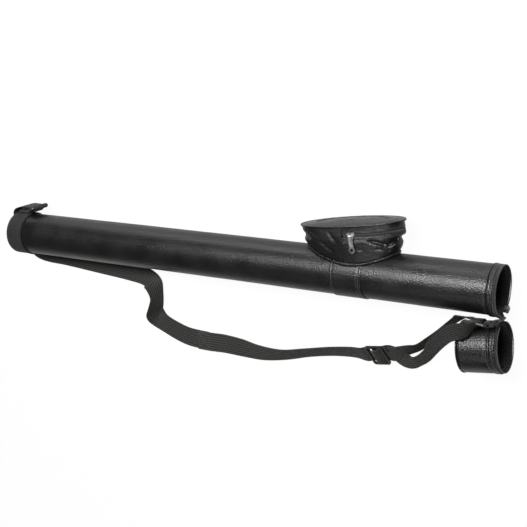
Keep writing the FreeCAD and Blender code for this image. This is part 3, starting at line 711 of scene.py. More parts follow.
def make_mouth():
    hem = [(791.1, CORE_R), (791.1, 32.2), (791.7, 32.7), (793.2, 32.8), (794.4, 32.55), (795.0, 32.05),
           (795.6, 32.5), (797.0, 32.65), (797.7, 32.4), (797.95, 31.8), (797.95, CORE_R)]
    edge = lathe("mouth_hem_fold", hem, soft_leather, segments=180, dent=pucker(0.1, 60))
    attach(edge, "case")
    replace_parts(edge, "mouth_hem")
    cord_path, _ = hoop(790.1, 32.35, count=180)
    cord = tube_along("mouth_cord", cord_path[:-1], 0.75, soft_leather, closed=True)
    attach(cord, "case")
    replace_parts(cord, "mouth_piping")
    rows = [hoop(795.0, 32.2), hoop(787.0, 32.0)]
    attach(stitches("mouth_thread", rows, pitch=3.0, length=2.2), "case")
    spread = (-180 + HINGE_HALF, 180 - HINGE_HALF)
    strip = [(798.05, 31.2), (798.05, 32.0), (799.5, 32.03), (800.6, 31.95), (800.65, 31.25), (799.5, 31.2)]
    cloth = lathe("mouth_zip_cloth", strip, tape, segments=160, spread=spread)
    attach(cloth, "case")
    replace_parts(cloth, "mouth_zip_tape")
    row = rim_teeth("mouth_zip_row", PARTING - 2.6, 2.3, *spread, offset=0.8)
    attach(row, "case")
    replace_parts(row, "mouth_zip_teeth")
    make_tube_lining()


def fluffy(size, seed):
    """Uneven pile on the inside of a lining and at its rim."""
    def dent(x, a, r):
        return size * (0.5 * wave(x * 0.5, a * 12, seed, 3.0) + 0.5 * wave(x * 1.1, a * 31, seed + 1, 3.0))
    return dent


def make_tube_lining():
    profile = [(17.2, 28.7), (17.2, 26.7)]
    profile += [(x, 26.75) for x in (120, 300, 480, 640, 700, 740, 765)]
    profile += [(x, 26.75) for x in np.arange(772, 799, 2.0)]
    profile += [(799.3, 27.0), (799.9, 27.5), (799.9, 28.2), (799.4, 28.65), (790, 28.7), (400, 28.7)]
    lining = lathe("tube_plush", profile, plush, segments=220, dent=fluffy(0.14, 11))
    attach(lining, "case")
    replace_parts(lining, "tube_lining")


def make_lid():
    turn = lid_turn()
    x0 = PARTING + 2.3
    r = LID_R
    core_out = LID_R - 1.15
    cover = [(x0 + 9.1, core_out + 0.1), (x0 + 9.1, r - 0.6), (x0 + 9.6, r - 0.1), (x0 + 10.8, r), (x0 + 12, r - 0.5),
             (x0 + 12.6, r - 0.9), (x0 + 13.2, r - 0.5), (x0 + 14.4, r - 0.05)]
    cover += [(x, r - 0.03) for x in np.linspace(x0 + 18, LID_END - 6, 9)]
    cover += [(LID_END - 3.2, r - 0.1), (LID_END - 2.2, r - 0.5), (LID_END - 1.7, r - 1.0),
              (LID_END - 1.7, core_out + 0.1)]
    shell = lathe("lid_wrap", cover, leather, segments=180, dent=soft_dents(21, 0.25, 0.03),
                  matrix=turn)
    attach(shell, "lid")
    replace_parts(shell, "lid_cover")
    hem = [(x0 + 1.7, core_out + 0.1), (x0 + 1.7, r - 0.4), (x0 + 2.3, r + 0.3), (x0 + 3.6, r + 0.45),
           (x0 + 4.8, r + 0.25), (x0 + 5.3, r - 0.4), (x0 + 5.8, r + 0.2), (x0 + 7.2, r + 0.4), (x0 + 8.4, r + 0.2),
           (x0 + 8.9, r - 0.3), (x0 + 8.9, core_out + 0.1)]
    edge = lathe("lid_hem_fold", hem, soft_leather, segments=180, dent=pucker(0.1, 60),
                 matrix=turn)
    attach(edge, "lid")
    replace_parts(edge, "lid_hem")
    end = LID_END - 0.65
    panel = [(end - 2.8, 0), (end - 2.8, core_out - 0.1), (end - 0.6, core_out - 0.15), (end - 0.1, core_out - 1.4),
             (end - 0.7, core_out - 3.2), (end - 0.35, core_out - 5), (end - 0.1, 20), (end, 12), (end, 5), (end, 0)]
    top = lathe("lid_end_cover", panel, soft_leather, segments=144, closed=False, matrix=turn)
    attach(top, "lid")
    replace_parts(top, "lid_end_panel")
    cord_path, _ = hoop(LID_END - 0.7, LID_R - 0.45, count=180, matrix=turn)
    cord = tube_along("lid_cord", cord_path[:-1], 1.0, soft_leather, closed=True)
    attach(cord, "lid")
    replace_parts(cord, "lid_piping")
    flat_path, _ = hoop(end - 0.62, core_out - 3.2, matrix=turn)
    away = np.tile(np.array(turn)[:3, 0], (len(flat_path), 1))
    rows = [hoop(x0 + 5.3, r - 0.25, matrix=turn), hoop(x0 + 12.6, r - 0.75, matrix=turn), (flat_path, away)]
    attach(stitches("lid_thread", rows, pitch=3.0, length=2.2), "lid")
    spread = (-180 + HINGE_HALF, 180 - HINGE_HALF)
    strip = [(x0 + 0.05, 31.25), (x0, 31.95), (x0 + 0.8, 32.0), (x0 + 1.55, 32.0), (x0 + 1.55, 31.2)]
    cloth = lathe("lid_zip_cloth", strip, tape, segments=160, spread=spread, matrix=turn)
    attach(cloth, "lid")
    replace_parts(cloth, "lid_zip_tape")
    row = rim_teeth("lid_zip_row", PARTING + 2.6, -2.3, *spread, offset=2.3, matrix=turn)
    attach(row, "lid")
    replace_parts(row, "lid_zip_teeth")
    bore = 27.4
    deep = LID_END - 11.6
    pile = [(x0 + 1.7, 29.8), (x0 + 1.7, 28.4), (x0 + 2.3, 27.7)]
    pile += [(x, bore) for x in np.arange(x0 + 3.5, deep, 2.0)]
    pile += [(deep - 0.1, 29.9), (x0 + 20, 29.95)]
    lining = lathe("lid_plush", pile, plush, segments=220, dent=fluffy(0.14, 31), matrix=turn)
    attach(lining, "lid")
    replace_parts(lining, "lid_lining")
    pad_x = LID_END - 11.45
    pad = [(LID_END - 5.6, 0), (LID_END - 5.6, 30.0), (pad_x + 1.2, 30.0), (pad_x + 0.2, 28.8), (pad_x, 24),
           (pad_x - 0.0, 16), (pad_x, 8), (pad_x, 0)]
    cushion = lathe("lid_plush_pad", pad, plush, segments=120, closed=False, matrix=turn)
    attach(cushion, "lid")
    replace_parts(cushion, "lid_foam_pad")


def make_hinge():
    """Doubled leatherette strip that joins the tube's rim to the lid's and folds on the pivot line."""
    turn = lid_turn()
    half = 21.0
    rows, over = [], []
    for angle in np.linspace(180 - half, 180 + half, 25):
        a = math.radians(angle)
        out = np.array([0, math.cos(a), math.sin(a)])
        z = math.sin(a)
        tube_side = [np.array([x, 0, 0]) + out * r for x, r in ((789.0, 32.9), (793.5, 33.35), (797.6, 33.0))]
        lid_side = [np.array([x, 0, 0]) + out * r for x, r in ((808.4, 33.7), (812.0, 34.2), (816.5, 33.6))]
        lid_side = [moved([p], turn)[0] for p in lid_side]
        spine = [np.array([x, y, z * 19.0]) for x, y in ((801.6, -34.9), (804.3, -36.9), (801.7, -38.7))]
        row = catmull(tube_side + spine + lid_side, 5)
        rows.append(row)
    rows = np.array(rows)
    obj = grid("hinge_fold", rows, soft_leather,
               uv=(np.linspace(0, 0.024, 25), path_length(rows[12]) * MM))
    solid = obj.modifiers.new("thickness", "SOLIDIFY")
    solid.thickness = 0.9 * MM
    solid.offset = 0
    apply_modifiers(obj)
    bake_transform(obj)
    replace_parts(obj, "hinge_gusset")


def apply_modifiers(obj):
    dg = bpy.context.evaluated_depsgraph_get()
    mesh = bpy.data.meshes.new_from_object(obj.evaluated_get(dg))
    obj.modifiers.clear()
    old = obj.data
    obj.data = mesh
    bpy.data.meshes.remove(old)


make_sleeves()
make_band()
make_base()
make_mouth()
make_lid()
make_hinge()
for name in ("lid_zip_slider", "lid_zip_pull"):
    frame["nodes"][name].data.materials[0] = lid_metal


# ---- pouch ------------------------------------------------------------------------------------
PANEL_A, PANEL_B = 74.0, 32.0
WALL_A, WALL_B = 73.0, 31.4
FOOT_A, FOOT_B, FOOT_X = 64.5, 28.0, 599.5
SADDLE_R = 34.45
LOWER_TOP = ZIP_Y - 5.0
WALL_T = 1.2
to_case = pouch_turn()
to_panel = to_case.inverted()


def foot_skew(phi):
    """The foot is fuller towards the mouth than towards the base."""
    return 1 + 0.07 * np.cos(phi)


def foot_ring(phi, grow=0.0, radius=SADDLE_R):
    """Points where the pouch's wall meets the tube, in the top panel's frame."""
    z = (FOOT_B + grow) * np.sin(phi) * foot_skew(phi)
    x = FOOT_X + (FOOT_A + grow) * np.cos(phi)
    y = np.sqrt(radius ** 2 - z ** 2)
    return moved(np.stack([x, y, z], -1).reshape(-1, 3), to_panel).reshape(*np.shape(phi), 3)


def wall_creases(phi, y):
    """Inward folds and dents of the soft wall, in millimetres, by angle round it and height."""
    deg = np.degrees((phi + math.pi) % (2 * math.pi) - math.pi)
    folds = 0.0
    for p, q, width, depth in (
            ((163, -9), (137, -17), 2.6, 3.4), ((168, -26), (146, -31), 2.6, 2.4), ((136, -7), (120, -14), 2.0, 1.2),
            ((120, -20), (104, -34), 2.6, 1.5), ((106, -8), (99, -22), 1.8, 1.0), ((62, -21), (38, -30), 2.2, 4.4),
            ((36, -31), (14, -23), 2.6, 4.0), ((52, -33), (30, -37), 1.8, 1.6), ((84, -27), (66, -34), 2.2, 1.0),
            ((14, -20), (-18, -24), 2.2, 3.0), ((-34, -22), (-70, -33), 2.6, 2.6), ((-62, -21), (-92, -30), 2.2, 1.2),
            ((-104, -8), (-128, -24), 2.8, 2.0), ((-150, -9), (-128, -30), 2.8, 2.4),
            ((-172, -22), (-150, -33), 2.4, 2.0)):
        folds = folds + depth * crease(deg * 0.9, y, (p[0] * 0.9, p[1]), (q[0] * 0.9, q[1]), width)
    ends = np.clip((np.abs(np.cos(phi)) - 0.72) / 0.28, 0, 1)
    height = np.where(np.cos(phi) < 0, -15.0, -24.0)
    folds = folds + 4.6 * ends * np.exp(-((y - height) / 5.0) ** 2)
    return folds + 0.4 * wave(phi * 6, y * 0.3, 4, 1.6) + 0.18 * wave(phi * 17, y * 0.8, 6, 1.6)


def wall_surface(phi, t, inset=0.0):
    """Outer face of the wall. t runs from 0 at the foot to 1 under the top panel."""
    foot = foot_ring(phi, -inset)
    top_y = -1.6
    y = foot[..., 1] + (top_y - foot[..., 1]) * t
    t_full = (LOWER_TOP - foot[..., 1]) / (top_y - foot[..., 1])
    q = np.clip(t / t_full, 0, 1)
    q = q ** 0.85
    x = foot[..., 0] * (1 - q) + (WALL_A - inset) * np.cos(phi) * q
    z = foot[..., 2] * (1 - q) + (WALL_B - inset) * np.sin(phi) * q
    nx, nz = np.cos(phi) / WALL_A, np.sin(phi) / WALL_B
    size = np.hypot(nx, nz)
    zipped = np.clip((x + 6) / 8, 0, 1)
    calm = np.clip((LOWER_TOP - 1.0 - y) / 3.0, 0, 1)
    free = np.where(zipped > 0, zipped * calm + (1 - zipped), 1.0)
    ends = np.clip(t / 0.08, 0, 1) * np.clip((1 - t) / 0.08, 0, 1)
    move = 1.1 * np.sin(math.pi * np.clip(t, 0, 1)) - wall_creases(phi, y)
    move = np.clip(move, -7.5, 1.6) * free * ends
    return np.stack([x + nx / size * move, y, z + nz / size * move], -1)


def t_at(phi, y):
    foot_y = foot_ring(phi)[..., 1]
    return (y - foot_y) / (-1.6 - foot_y)


def phi_span(x_from):
    """Half angle of the stretch round the mouth-side end where x is beyond x_from."""
    return math.acos(x_from / WALL_A)


def wall_piece(name, phi, low, high, rows, body, material=None):
    """Sheet of the wall between two heights, given thickness towards the inside."""
    phi = np.asarray(phi)
    t0 = np.zeros_like(phi) if low is None else t_at(phi, low)
    t1 = np.ones_like(phi) if high is None else t_at(phi, high)
    share = np.linspace(0, 1, rows)[:, None]
    t = t0[None, :] * (1 - share) + t1[None, :] * share
    points = wall_surface(np.repeat(phi[None, :], rows, 0), t)
    obj = grid(name, moved(points.reshape(-1, 3), to_case).reshape(points.shape), material or soft_leather,
               uv=(np.linspace(0, 0.035, rows), path_length(points[rows // 2]) * MM))
    face_out(obj)
    solid = obj.modifiers.new("thickness", "SOLIDIFY")
    solid.thickness = WALL_T * MM
    solid.offset = -1
    apply_modifiers(obj)
    if body:
        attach(obj, body)
    return obj


def face_out(obj):
    """Turns an open sheet's faces away from the pouch's middle."""
    centre = pouch_point(0, -18)
    faces = obj.data.polygons
    total = sum((p.center - centre).dot(p.normal) for p in faces)
    if total < 0:
        obj.data.flip_normals()


def panel_point(rho, phi):
    """Top panel: a padded border round a lower lens-shaped field, on a soft crown."""
    x, z = PANEL_A * rho * np.cos(phi), PANEL_B * rho * np.sin(phi)
    lens = np.abs(x / 52) ** 1.7 + np.abs(z / 18.5) ** 1.35
    crown = 5.6 * (1 - rho ** 1.6)
    field = -1.3 / (1 + np.exp((lens - 1) * 16)) - 0.7 * np.exp(-((lens - 1.0) / 0.07) ** 2)
    groove = -0.5 * np.exp(-((rho - 0.925) / 0.018) ** 2)
    uneven = 0.5 * wave(x * 0.06, z * 0.09, 17, 2.0) * np.clip((0.9 - rho) / 0.2, 0, 1)
    pucker_edge = 0.25 * wave(phi * 9, rho * 3, 23, 2.0) * np.exp(-((rho - 0.86) / 0.07) ** 2)
    y = -0.7 + crown + field + groove + uneven + pucker_edge
    return np.stack([x, y, z], -1)


def make_panel():
    rho = np.concatenate([[0.0], np.linspace(0.04, 0.86, 34), np.linspace(0.885, 1.0, 9)])
    phi = np.arange(160) * 2 * math.pi / 160
    top = panel_point(rho[:, None] + 0 * phi, phi[None, :] + 0 * rho[:, None])
    edge = top[-1].copy()
    edge[:, 1] = -2.0
    under = [edge * np.array([s, 1, s]) for s in (1.0, 0.8, 0.4, 0.0)]
    rings = np.concatenate([top, np.array(under)])
    obj = grid("pouch_panel", moved(rings.reshape(-1, 3), to_case).reshape(rings.shape), soft_leather,
               wrap=(False, True), uv=(path_length(rings[:, 0]) * MM, np.linspace(0, 0.36, 161)))
    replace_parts(obj, "pouch_top", "pouch_flap")
    fold(obj)
    cord = np.stack([(PANEL_A + 0.5) * np.cos(phi), np.full_like(phi, -1.5), (PANEL_B + 0.5) * np.sin(phi)], -1)
    piping = tube_along("pouch_panel_cord", moved(cord, to_case), 1.2, soft_leather, sides=12,
                        closed=True)
    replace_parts(piping, "pouch_top_piping", "flap_piping")
    fold(piping)
    ring = np.linspace(0, 2 * math.pi, 241)
    path = moved(panel_point(np.full_like(ring, 0.925), ring), to_case)
    up = np.tile(np.array(to_case)[:3, 1], (len(ring), 1))
    fold(stitches("pouch_panel_thread", [(path, up)], pitch=3.2, length=2.4))


def fold(obj):
    """Bakes a pouch or flap piece's placement into its mesh."""
    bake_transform(obj)
    return obj


def lift(obj):
    """Bakes a flap piece's placement into its mesh."""
    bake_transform(obj)
    return obj


def make_walls():
    left = phi_span(-1.4)
    phi = np.linspace(left, 2 * math.pi - left, 150)
    wall = wall_piece("pouch_wall_plain", phi, None, None, 30, "case")
    right = phi_span(-2.0)
    phi = np.linspace(-right, right, 150)
    lower = wall_piece("pouch_wall_zipped", phi, None, LOWER_TOP + 2.6, 24, "case")
    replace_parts(lower, "pouch_gusset")
    upper = wall_piece("pouch_flap_wall", phi, ZIP_Y + 3.2, None, 10, None)
    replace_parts(upper, "flap_gusset")
    lift(upper)
    for name, side in (("pouch_side_seam_near", 1), ("pouch_side_seam_far", -1)):
        t = np.linspace(0.03, 0.97, 30)
        phi = np.full_like(t, side * phi_span(-1.8))
        path = wall_surface(phi, t)
        path[:, 2] += side * 0.15
        cord = tube_along(name, moved(path, to_case), 0.55, soft_leather)
        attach(cord, "case")
    rho = np.linspace(0, 1, 14)[:, None]
    phi = np.arange(120)[None, :] * 2 * math.pi / 120
    z = (FOOT_B + 1.2) * rho * np.sin(phi) * foot_skew(phi)
    x = FOOT_X + (FOOT_A + 2.6) * rho * np.cos(phi)
    sheet = np.stack([x, np.sqrt(34.3 ** 2 - z ** 2), z], -1)
    under = np.stack([x[::-1], np.sqrt(33.25 ** 2 - z[::-1] ** 2), z[::-1]], -1)
    base = grid("pouch_floor", np.concatenate([sheet, under]), soft_leather, wrap=(False, True),
                uv=(np.linspace(0, 0.06, 28), np.linspace(0, 0.36, 121)))
    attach(base, "case")
    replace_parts(base, "pouch_base")
    phi = np.arange(180) * 2 * math.pi / 180
    z = (FOOT_B + 1.5) * np.sin(phi) * foot_skew(phi)
    cord = np.stack([FOOT_X + (FOOT_A + 1.5) * np.cos(phi), np.sqrt(35.0 ** 2 - z ** 2), z], -1)
    piping = tube_along("pouch_foot_cord", cord, 1.15, soft_leather, sides=10, closed=True)
    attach(piping, "case")
    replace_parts(piping, "pouch_foot_piping")


def wall_path(y, x_from, grow=0.0, count=200):
    """Line round the zipped end at one height, with outward normals, in the case's frame."""
    span = phi_span(x_from)
    phi = np.linspace(-span, span, count)
    out = np.stack([np.cos(phi) / WALL_A, 0 * phi, np.sin(phi) / WALL_B], -1)
    out /= np.linalg.norm(out, axis=1)[:, None]
    path = wall_surface(phi, t_at(phi, np.full_like(phi, y))) + out * grow
    return moved(path, to_case), out @ np.array(to_case)[:3, :3].T


def zip_strip(name, y0, y1):
    """Woven tape of the pouch's zip between two heights, set just inside the wall's face."""
    rows = []
    for y, sink in ((y0, -0.3), (y0, -1.1), (y1, -1.1), (y1, -0.3)):
        path, _ = wall_path(y, -0.6, grow=sink)
        rows.append(path)
    order = [rows[0], rows[3], rows[2], rows[1]]
    points = np.array(order)
    obj = grid(name, points, tape, wrap=(True, False),
               uv=(path_length([r[0] for r in order], True) * MM, path_length(rows[0]) * MM))
    close_ends(obj)
    return obj


def zip_row(name, root, reach, offset):
    """Teeth of the pouch's zip along the wall, spaced evenly by length."""
    pitch = 2.2
    path, out = wall_path(root, 0.6, grow=-0.75, count=400)
    run = path_length(path)
    points, faces = [], []
    up = np.array(to_case)[:3, 1]
    for s in np.arange(offset, run[-1], pitch):
        p = np.array([np.interp(s, run, path[:, c]) for c in range(3)])
        n = np.array([np.interp(s, run, out[:, c]) for c in range(3)])
        n /= np.linalg.norm(n)
        tooth(points, faces, p, n, np.cross(up, n), up * np.sign(reach), (0.75, 0.85, abs(reach)))
    return tidy(new_object(name, points, faces, teeth_plastic))


def make_pouch_zip():
    low = zip_strip("pouch_zip_cloth", LOWER_TOP + 1.4, ZIP_Y - 1.5)
    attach(low, "case")
    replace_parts(low, "pouch_zip_tape")
    high = zip_strip("flap_zip_cloth", ZIP_Y + 1.5, ZIP_Y + 4.0)
    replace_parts(high, "flap_zip_tape")
    lift(high)
    row = zip_row("pouch_zip_row", ZIP_Y - 1.8, 2.1, 0.4)
    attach(row, "case")
    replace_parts(row, "pouch_zip_teeth")
    row = zip_row("flap_zip_row", ZIP_Y + 1.8, -2.1, 1.5)
    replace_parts(row, "flap_zip_teeth")
    lift(row)
    rows = [wall_path(y, 1.0, grow=0.1) for y in (LOWER_TOP + 1.2, LOWER_TOP - 0.9)]
    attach(stitches("pouch_zip_thread", rows, pitch=3.0, length=2.3), "case")
    lift(stitches("flap_zip_thread", [wall_path(ZIP_Y + 4.9, 1.0, grow=0.1)], pitch=3.0, length=2.3))
    for name, y, body in (("pouch_zip_edge", LOWER_TOP + 2.4, "case"), ("flap_zip_edge", ZIP_Y + 3.4, None)):
        path, _ = wall_path(y, -1.6, grow=-0.25)
        cord = tube_along(name, path, 0.6, soft_leather)
        if body:
            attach(cord, body)
        else:
            lift(cord)


make_panel()
make_walls()
make_pouch_zip()


# ---- strap ------------------------------------------------------------------------------------
def across(swing, tilt):
    s, t = math.radians(swing), math.radians(tilt)
    return [math.cos(t) * math.cos(s), math.cos(t) * math.sin(s), math.sin(t)]


def ribbon_frames(stations, steps=6, spacing=2.5):
    """Centres, width directions, face directions and widths along webbing through (x, y, z, swing, tilt[, width])."""
    rows = [[s[0], s[1], s[2]] + across(s[3], s[4]) + [s[5] if len(s) > 5 else STRAP_W] for s in stations]
    rows = catmull(rows, steps)
    run = path_length(rows[:, :3])
    count = int(run[-1] / spacing) + 1
    even = np.union1d(np.linspace(0, run[-1], count), run)
    rows = np.array([np.interp(even, run, rows[:, c]) for c in range(7)]).T
    rows = rows[np.concatenate([[True], np.diff(even) > 0.35])]
    centre = rows[:, :3]
    ahead = np.gradient(centre, axis=0)
    ahead /= np.linalg.norm(ahead, axis=1)[:, None]
    w = rows[:, 3:6]
    w = w - ahead * (w * ahead).sum(1)[:, None]
    w /= np.linalg.norm(w, axis=1)[:, None]
    return centre, w, np.cross(w, ahead), rows[:, 6]


def webbing_mesh(name, frames, material, thickness=STRAP_T, ribs=WEB_RIBS):
    """Woven strap with raised lengthwise ribs and rounded selvedges."""
    centre, w, n, width = frames
    per_rib = 5
    s = np.linspace(-1, 1, ribs * per_rib + 1)
    edge = np.sqrt(np.clip(1 - np.clip((np.abs(s) - 0.93) / 0.07, 0, 1) ** 2, 0, 1)) * 0.8 + 0.2
    rib = 0.84 + 0.16 * np.abs(np.cos(np.linspace(0, ribs * math.pi, len(s))))
    half = edge * rib * thickness / 2
    section = [(a, h) for a, h in zip(s, half)] + [(a, -h) for a, h in zip(s[::-1], half[::-1])]
    section = np.array(section)
    points = (centre[:, None, :] + w[:, None, :] * (section[None, :, 0, None] * width[:, None, None] / 2)
              + n[:, None, :] * section[None, :, 1, None])
    around = path_length(np.stack([section[:, 0] * STRAP_W / 2, section[:, 1] * 0], -1), True)
    obj = grid(name, points, material, wrap=(False, True), uv=(path_length(centre) * MM, around * MM), caps=True)
    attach(obj, "case")
    return obj


def box_stitch(frames, s0, s1, side, inset=3.0, cross=True):
    """Rows of thread for a sewn box, with a cross inside it, on one face of the webbing."""
    centre, w, n, width = frames
    run = path_length(centre)
    rows = []

    def spot(s, v):
        c, a, b = (np.array([np.interp(s, run, arr[:, k]) for k in range(3)]) for arr in (centre, w, n))
        return c + a * v + b * (side * STRAP_T * 0.47), b * side

    v1 = width[0] / 2 - inset
    lines = [((s0, -v1), (s1, -v1)), ((s0, v1), (s1, v1)), ((s0, -v1), (s0, v1)), ((s1, -v1), (s1, v1))]
    if cross:
        lines += [((s0, -v1), (s1, v1)), ((s0, v1), (s1, -v1))]
    for p, q in lines:
        pairs = [spot(p[0] + (q[0] - p[0]) * t, p[1] + (q[1] - p[1]) * t) for t in np.linspace(0, 1, 24)]
        rows.append((np.array([a for a, b in pairs]), np.array([b for a, b in pairs])))
    return rows


BASE_FAR = (43.0, 43.3, -6.0)
MOUTH_NEAR = np.array([793.5, -36.5, 27.0])
MOUTH_FAR = np.array([782.0, -35.0, 26.7])
MOUTH_BAR = np.array([0.0, 0.20, 0.98])
LOOP_R = 2.85
ADJUSTER = np.array([625.0, -119.5, -19.0])
ADJUSTER_RUN = np.array([0.985, 0.165, 0.06])
ADJUSTER_BAR = np.array([-0.14, 0.82, 0.57])


def unit(v):
    return v / np.linalg.norm(v)


def swing_tilt(v):
    return math.degrees(math.atan2(v[1], v[0])), math.degrees(math.asin(v[2]))


def adjuster_stations(offsets):
    run = unit(ADJUSTER_RUN)
    bar = unit(ADJUSTER_BAR - run * ADJUSTER_BAR.dot(run))
    face = np.cross(run, bar)
    swing, tilt = swing_tilt(bar)
    return [(*(ADJUSTER + run * a + face * h), swing, tilt) for a, h in offsets]


def rear_stations():
    x, y, z = BASE_FAR
    loop = []
    for angle in (-150, -90, -45, 0, 45, 90, 150):
        a = math.radians(angle)
        loop.append((x + LOOP_R * math.cos(a), y + LOOP_R * math.sin(a), z, 0, 90, 28))
    doubled = [(17, 41.3, z, 0, 90, 28), (27, 42.5, z, 0, 90, 28), (36, 42.55, z, 0, 90, 28)]
    outer = [(36, 44.1, z, 0, 90, 28), (27, 44.05, z, 0, 90, 29)]
    path = [
        (16, 43.6, -6, 0, 90), (3, 39.6, -6.5, 0, 90), (-3.5, 33.0, -8, 0, 90),
        (-6.0, 20, -11, 0, 90), (-9, 2, -15, 0, 90), (-14, -18, -17.6, 0, 90), (-13, -31, -18.2, 60, 88),
        (-5, -39, -20.0, 80, 70), (10, -42.0, -26.5, 85, 32), (30, -43, -31.8, 88, 8), (63, -44, STRAP_Z, 92, 0),
        (126, -49, STRAP_Z, 94, 0), (187, -54, STRAP_Z, 94, 0), (222, -57.5, -31.4, 92, -6),
        (240, -61.5, -24.6, 74, -36), (250, -69, -20.0, 45, -66), (254.5, -84, -18.9, 0, -84),
        (251, -99, -19.6, 20, -72), (245, -112, -23.5, 42, -40), (245.5, -122, -29.6, 62, -14),
        (257, -131.5, STRAP_Z + 0.2, 68, 0), (281, -141, STRAP_Z, 73, 0), (304, -146.5, STRAP_Z, 80, 0),
        (338, -148.2, STRAP_Z, 90, 0)]
    return doubled + loop + outer + path


def front_stations():
    path = [
        (318, -148.0, STRAP_Z + 1.6, 87, 0), (336, -148.2, STRAP_Z + 1.6, 90, 0),
        (350, -148.2, STRAP_Z + 0.6, 90, 1), (368, -147.9, STRAP_Z, 90, 2),
        (400, -149, STRAP_Z + 1.2, 91, 8), (434, -149, STRAP_Z + 6.2, 88, 24),
        (475, -144, STRAP_Z + 10.4, 82, 42), (514, -134.5, STRAP_Z + 11.4, 77, 47),
        (553, -126.5, STRAP_Z + 11.2, 80, 46), (585, -122.5, STRAP_Z + 11.2, 88, 42)]
    path += adjuster_stations([
        (-22, -1.2), (-14, -2.9), (-9.9, -2.7), (-4.8, 2.2), (0, 4.4),
        (4.8, 2.2), (9.9, -2.7), (14, -2.9), (21, -2.4)])
    path += [
        (662, -106, -15.5, 75, 44), (679.5, -98, -12.3, 115, 56), (695, -88.5, -8.5, 160, 65),
        (712.5, -72, -1, 180, 68), (730.5, -56, 7.5, 180, 69), (747, -41.5, 13.5, 165, 68),
        (757, -35, 17.2, 130, 66), (765, -32.6, 22.2, 80, 71)]
    back = unit(MOUTH_NEAR - MOUTH_FAR)
    bar = unit(MOUTH_BAR - back * MOUTH_BAR.dot(back))
    side = np.cross(bar, back)
    swing, tilt = swing_tilt(bar)
    for angle in (90, 60, 30, 0, -30, -60, -90):
        a = math.radians(angle)
        c = MOUTH_FAR + back * (LOOP_R * math.cos(a)) + side * (LOOP_R * math.sin(a))
        path.append((*c, swing, tilt, 28))
    path += [
        (774.5, -40.4, 35, 92, 56, 27), (766, -44.6, 40.6, 88, 32, 28), (754, -47.6, 45, 115, 34),
        (737, -61.5, 36, 155, 43), (719.2, -82.4, 11.5, 183, 45), (700.8, -102, -8, 180, 47),
        (686, -115.3, -20, 156, 44), (674.9, -120.2, -25, 118, 34), (664, -122, -26.6, 76, 20)]
    path += adjuster_stations([
        (22, -5.8), (13, -5.0), (6.5, -4.2), (1.0, -2.45), (-1.5, -1.9), (-2.45, 0), (-1.5, 1.9), (0.3, 2.4),
        (2.0, 1.4), (2.5, 0)])
    return path


def make_strap():
    rear = ribbon_frames(rear_stations())
    front = ribbon_frames(front_stations())
    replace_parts(webbing_mesh("strap_rear_webbing", rear, webbing), "rear_strap")
    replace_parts(webbing_mesh("strap_front_webbing", front, webbing), "front_strap", "return_strap")
    length = path_length(rear[0])[-1]
    rows = box_stitch(front, 2.5, 21, -1) + box_stitch(front, 2.5, 21, 1)
    rows += box_stitch(rear, 2.0, 17, 1) + box_stitch(rear, length - 18, length - 2, 1)
    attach(stitches("strap_thread", rows, pitch=2.6, length=2.1), "case")


def make_tabs():
    """Short webbing tabs that hold the two rings."""
    x, y, z = 33.0, 37.9, -6.0
    r = 2.85
    stations = [(9.4, 35.35, z, 0, 90, 27), (20, 35.5, z, 0, 90, 27), (27, 35.6, z, 0, 90, 27)]
    for angle in (-110, -60, 0, 60, 110):
        a = math.radians(angle)
        stations.append((x + r * math.cos(a), y + r * math.sin(a), z, 0, 90, 27))
    stations += [(27, 38.0, z, 0, 90, 27), (20, 37.1, z, 0, 90, 27), (9.6, 36.9, z, 0, 90, 27)]
    frames = ribbon_frames(stations, spacing=1.5)
    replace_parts(webbing_mesh("base_tab_webbing", frames, tab_webbing, thickness=1.4), "base_tab")
    length = path_length(frames[0])[-1]
    rows = box_stitch(frames, length - 15, length - 1.8, 1)
    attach(stitches("base_tab_thread", rows, pitch=2.6, length=2.1), "case")
    bar = unit(MOUTH_BAR)
    out = unit(np.array([0, -1.0, 0]) + bar * bar[1])
    swing, tilt = swing_tilt(bar)
    c = MOUTH_NEAR
    stations = []
    for along, height in ((8, 0.8), (4.5, 0.9), (1.2, 2.65), (-1.6, 2.35), (-2.85, 0), (-1.6, -2.35), (1.2, -2.65),
                          (4.5, -0.9), (8, -0.8)):
        p = c + np.array([along, 0, 0]) + out * height
        stations.append((*p, swing, tilt, 21.5))
    frames = ribbon_frames(stations, spacing=1.2)
    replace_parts(webbing_mesh("mouth_tab_webbing", frames, webbing, thickness=1.4, ribs=6), "mouth_tab")


make_strap()
make_tabs()


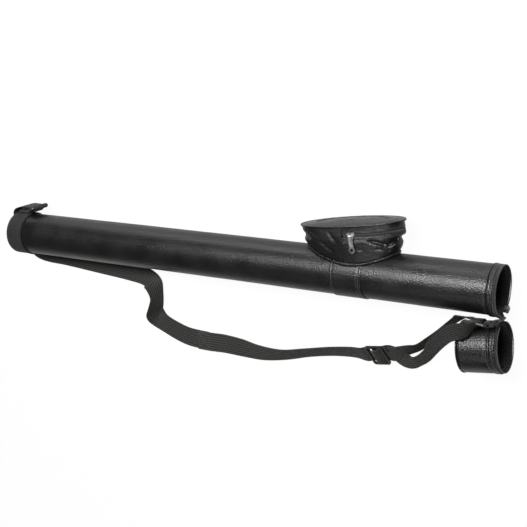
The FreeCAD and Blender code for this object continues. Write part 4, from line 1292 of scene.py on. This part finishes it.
# ---- studio -----------------------------------------------------------------------------------
def make_floor(z):
    bm = bmesh.new()
    bmesh.ops.create_grid(bm, x_segments=40, y_segments=40, size=30.0)
    mesh = bpy.data.meshes.new("studio_floor")
    bm.to_mesh(mesh)
    bm.free()
    obj = bpy.data.objects.new("studio_floor", mesh)
    bpy.context.scene.collection.objects.link(obj)
    obj.location = (0.4, -0.1, z)
    mesh.materials.append(floor_finish())


def area_light(name, place, target, size, power):
    light = bpy.data.lights.new(name, "AREA")
    light.shape = "RECTANGLE"
    light.size, light.size_y = size
    light.energy = power
    obj = bpy.data.objects.new(name, light)
    bpy.context.scene.collection.objects.link(obj)
    obj.location = place
    obj.rotation_euler = (Vector(target) - Vector(place)).to_track_quat("-Z", "Y").to_euler()
    return obj


def make_studio():
    world = bpy.data.worlds.new("studio")
    bpy.context.scene.world = world
    world.use_nodes = True
    back = world.node_tree.nodes["Background"]
    back.inputs["Color"].default_value = (1, 1, 1, 1)
    links = world.node_tree.links
    seen = world.node_tree.nodes.new("ShaderNodeLightPath")
    strength = world.node_tree.nodes.new("ShaderNodeMapRange")
    strength.inputs["To Min"].default_value = 0.09
    strength.inputs["To Max"].default_value = 1.0
    links.new(seen.outputs["Is Camera Ray"], strength.inputs["Value"])
    links.new(strength.outputs["Result"], back.inputs["Strength"])
    area_light("softbox_top", (0.58, 0.80, 1.55), (0.5, 0, 0), (1.25, 0.42), 56)
    area_light("softbox_front", (0.9, -0.9, 1.3), (0.5, -0.1, 0), (1.4, 0.3), 5)
    area_light("softbox_back", (0.3, 1.5, -0.02), (0.4, 0, 0), (2.2, 0.4), 22)
    bpy.context.scene.view_settings.view_transform = "Standard"


def make_camera():
    cam = bpy.data.cameras.new("camera")
    cam.sensor_width = 36
    cam.lens = 68.31
    obj = bpy.data.objects.new("camera", cam)
    bpy.context.scene.collection.objects.link(obj)
    right = Vector((0.85643, -0.03821, -0.51484))
    up = Vector((-0.10623, 0.96287, -0.24818))
    back = Vector((0.50521, 0.26724, 0.82058))
    turn = Matrix((right, up, back)).transposed().to_4x4()
    obj.matrix_world = Matrix.Translation((1.16408, 0.36882, 1.14287)) @ turn
    bpy.context.scene.camera = obj


low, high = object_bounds()
make_floor(low.z - 0.0005)
make_studio()
make_camera()
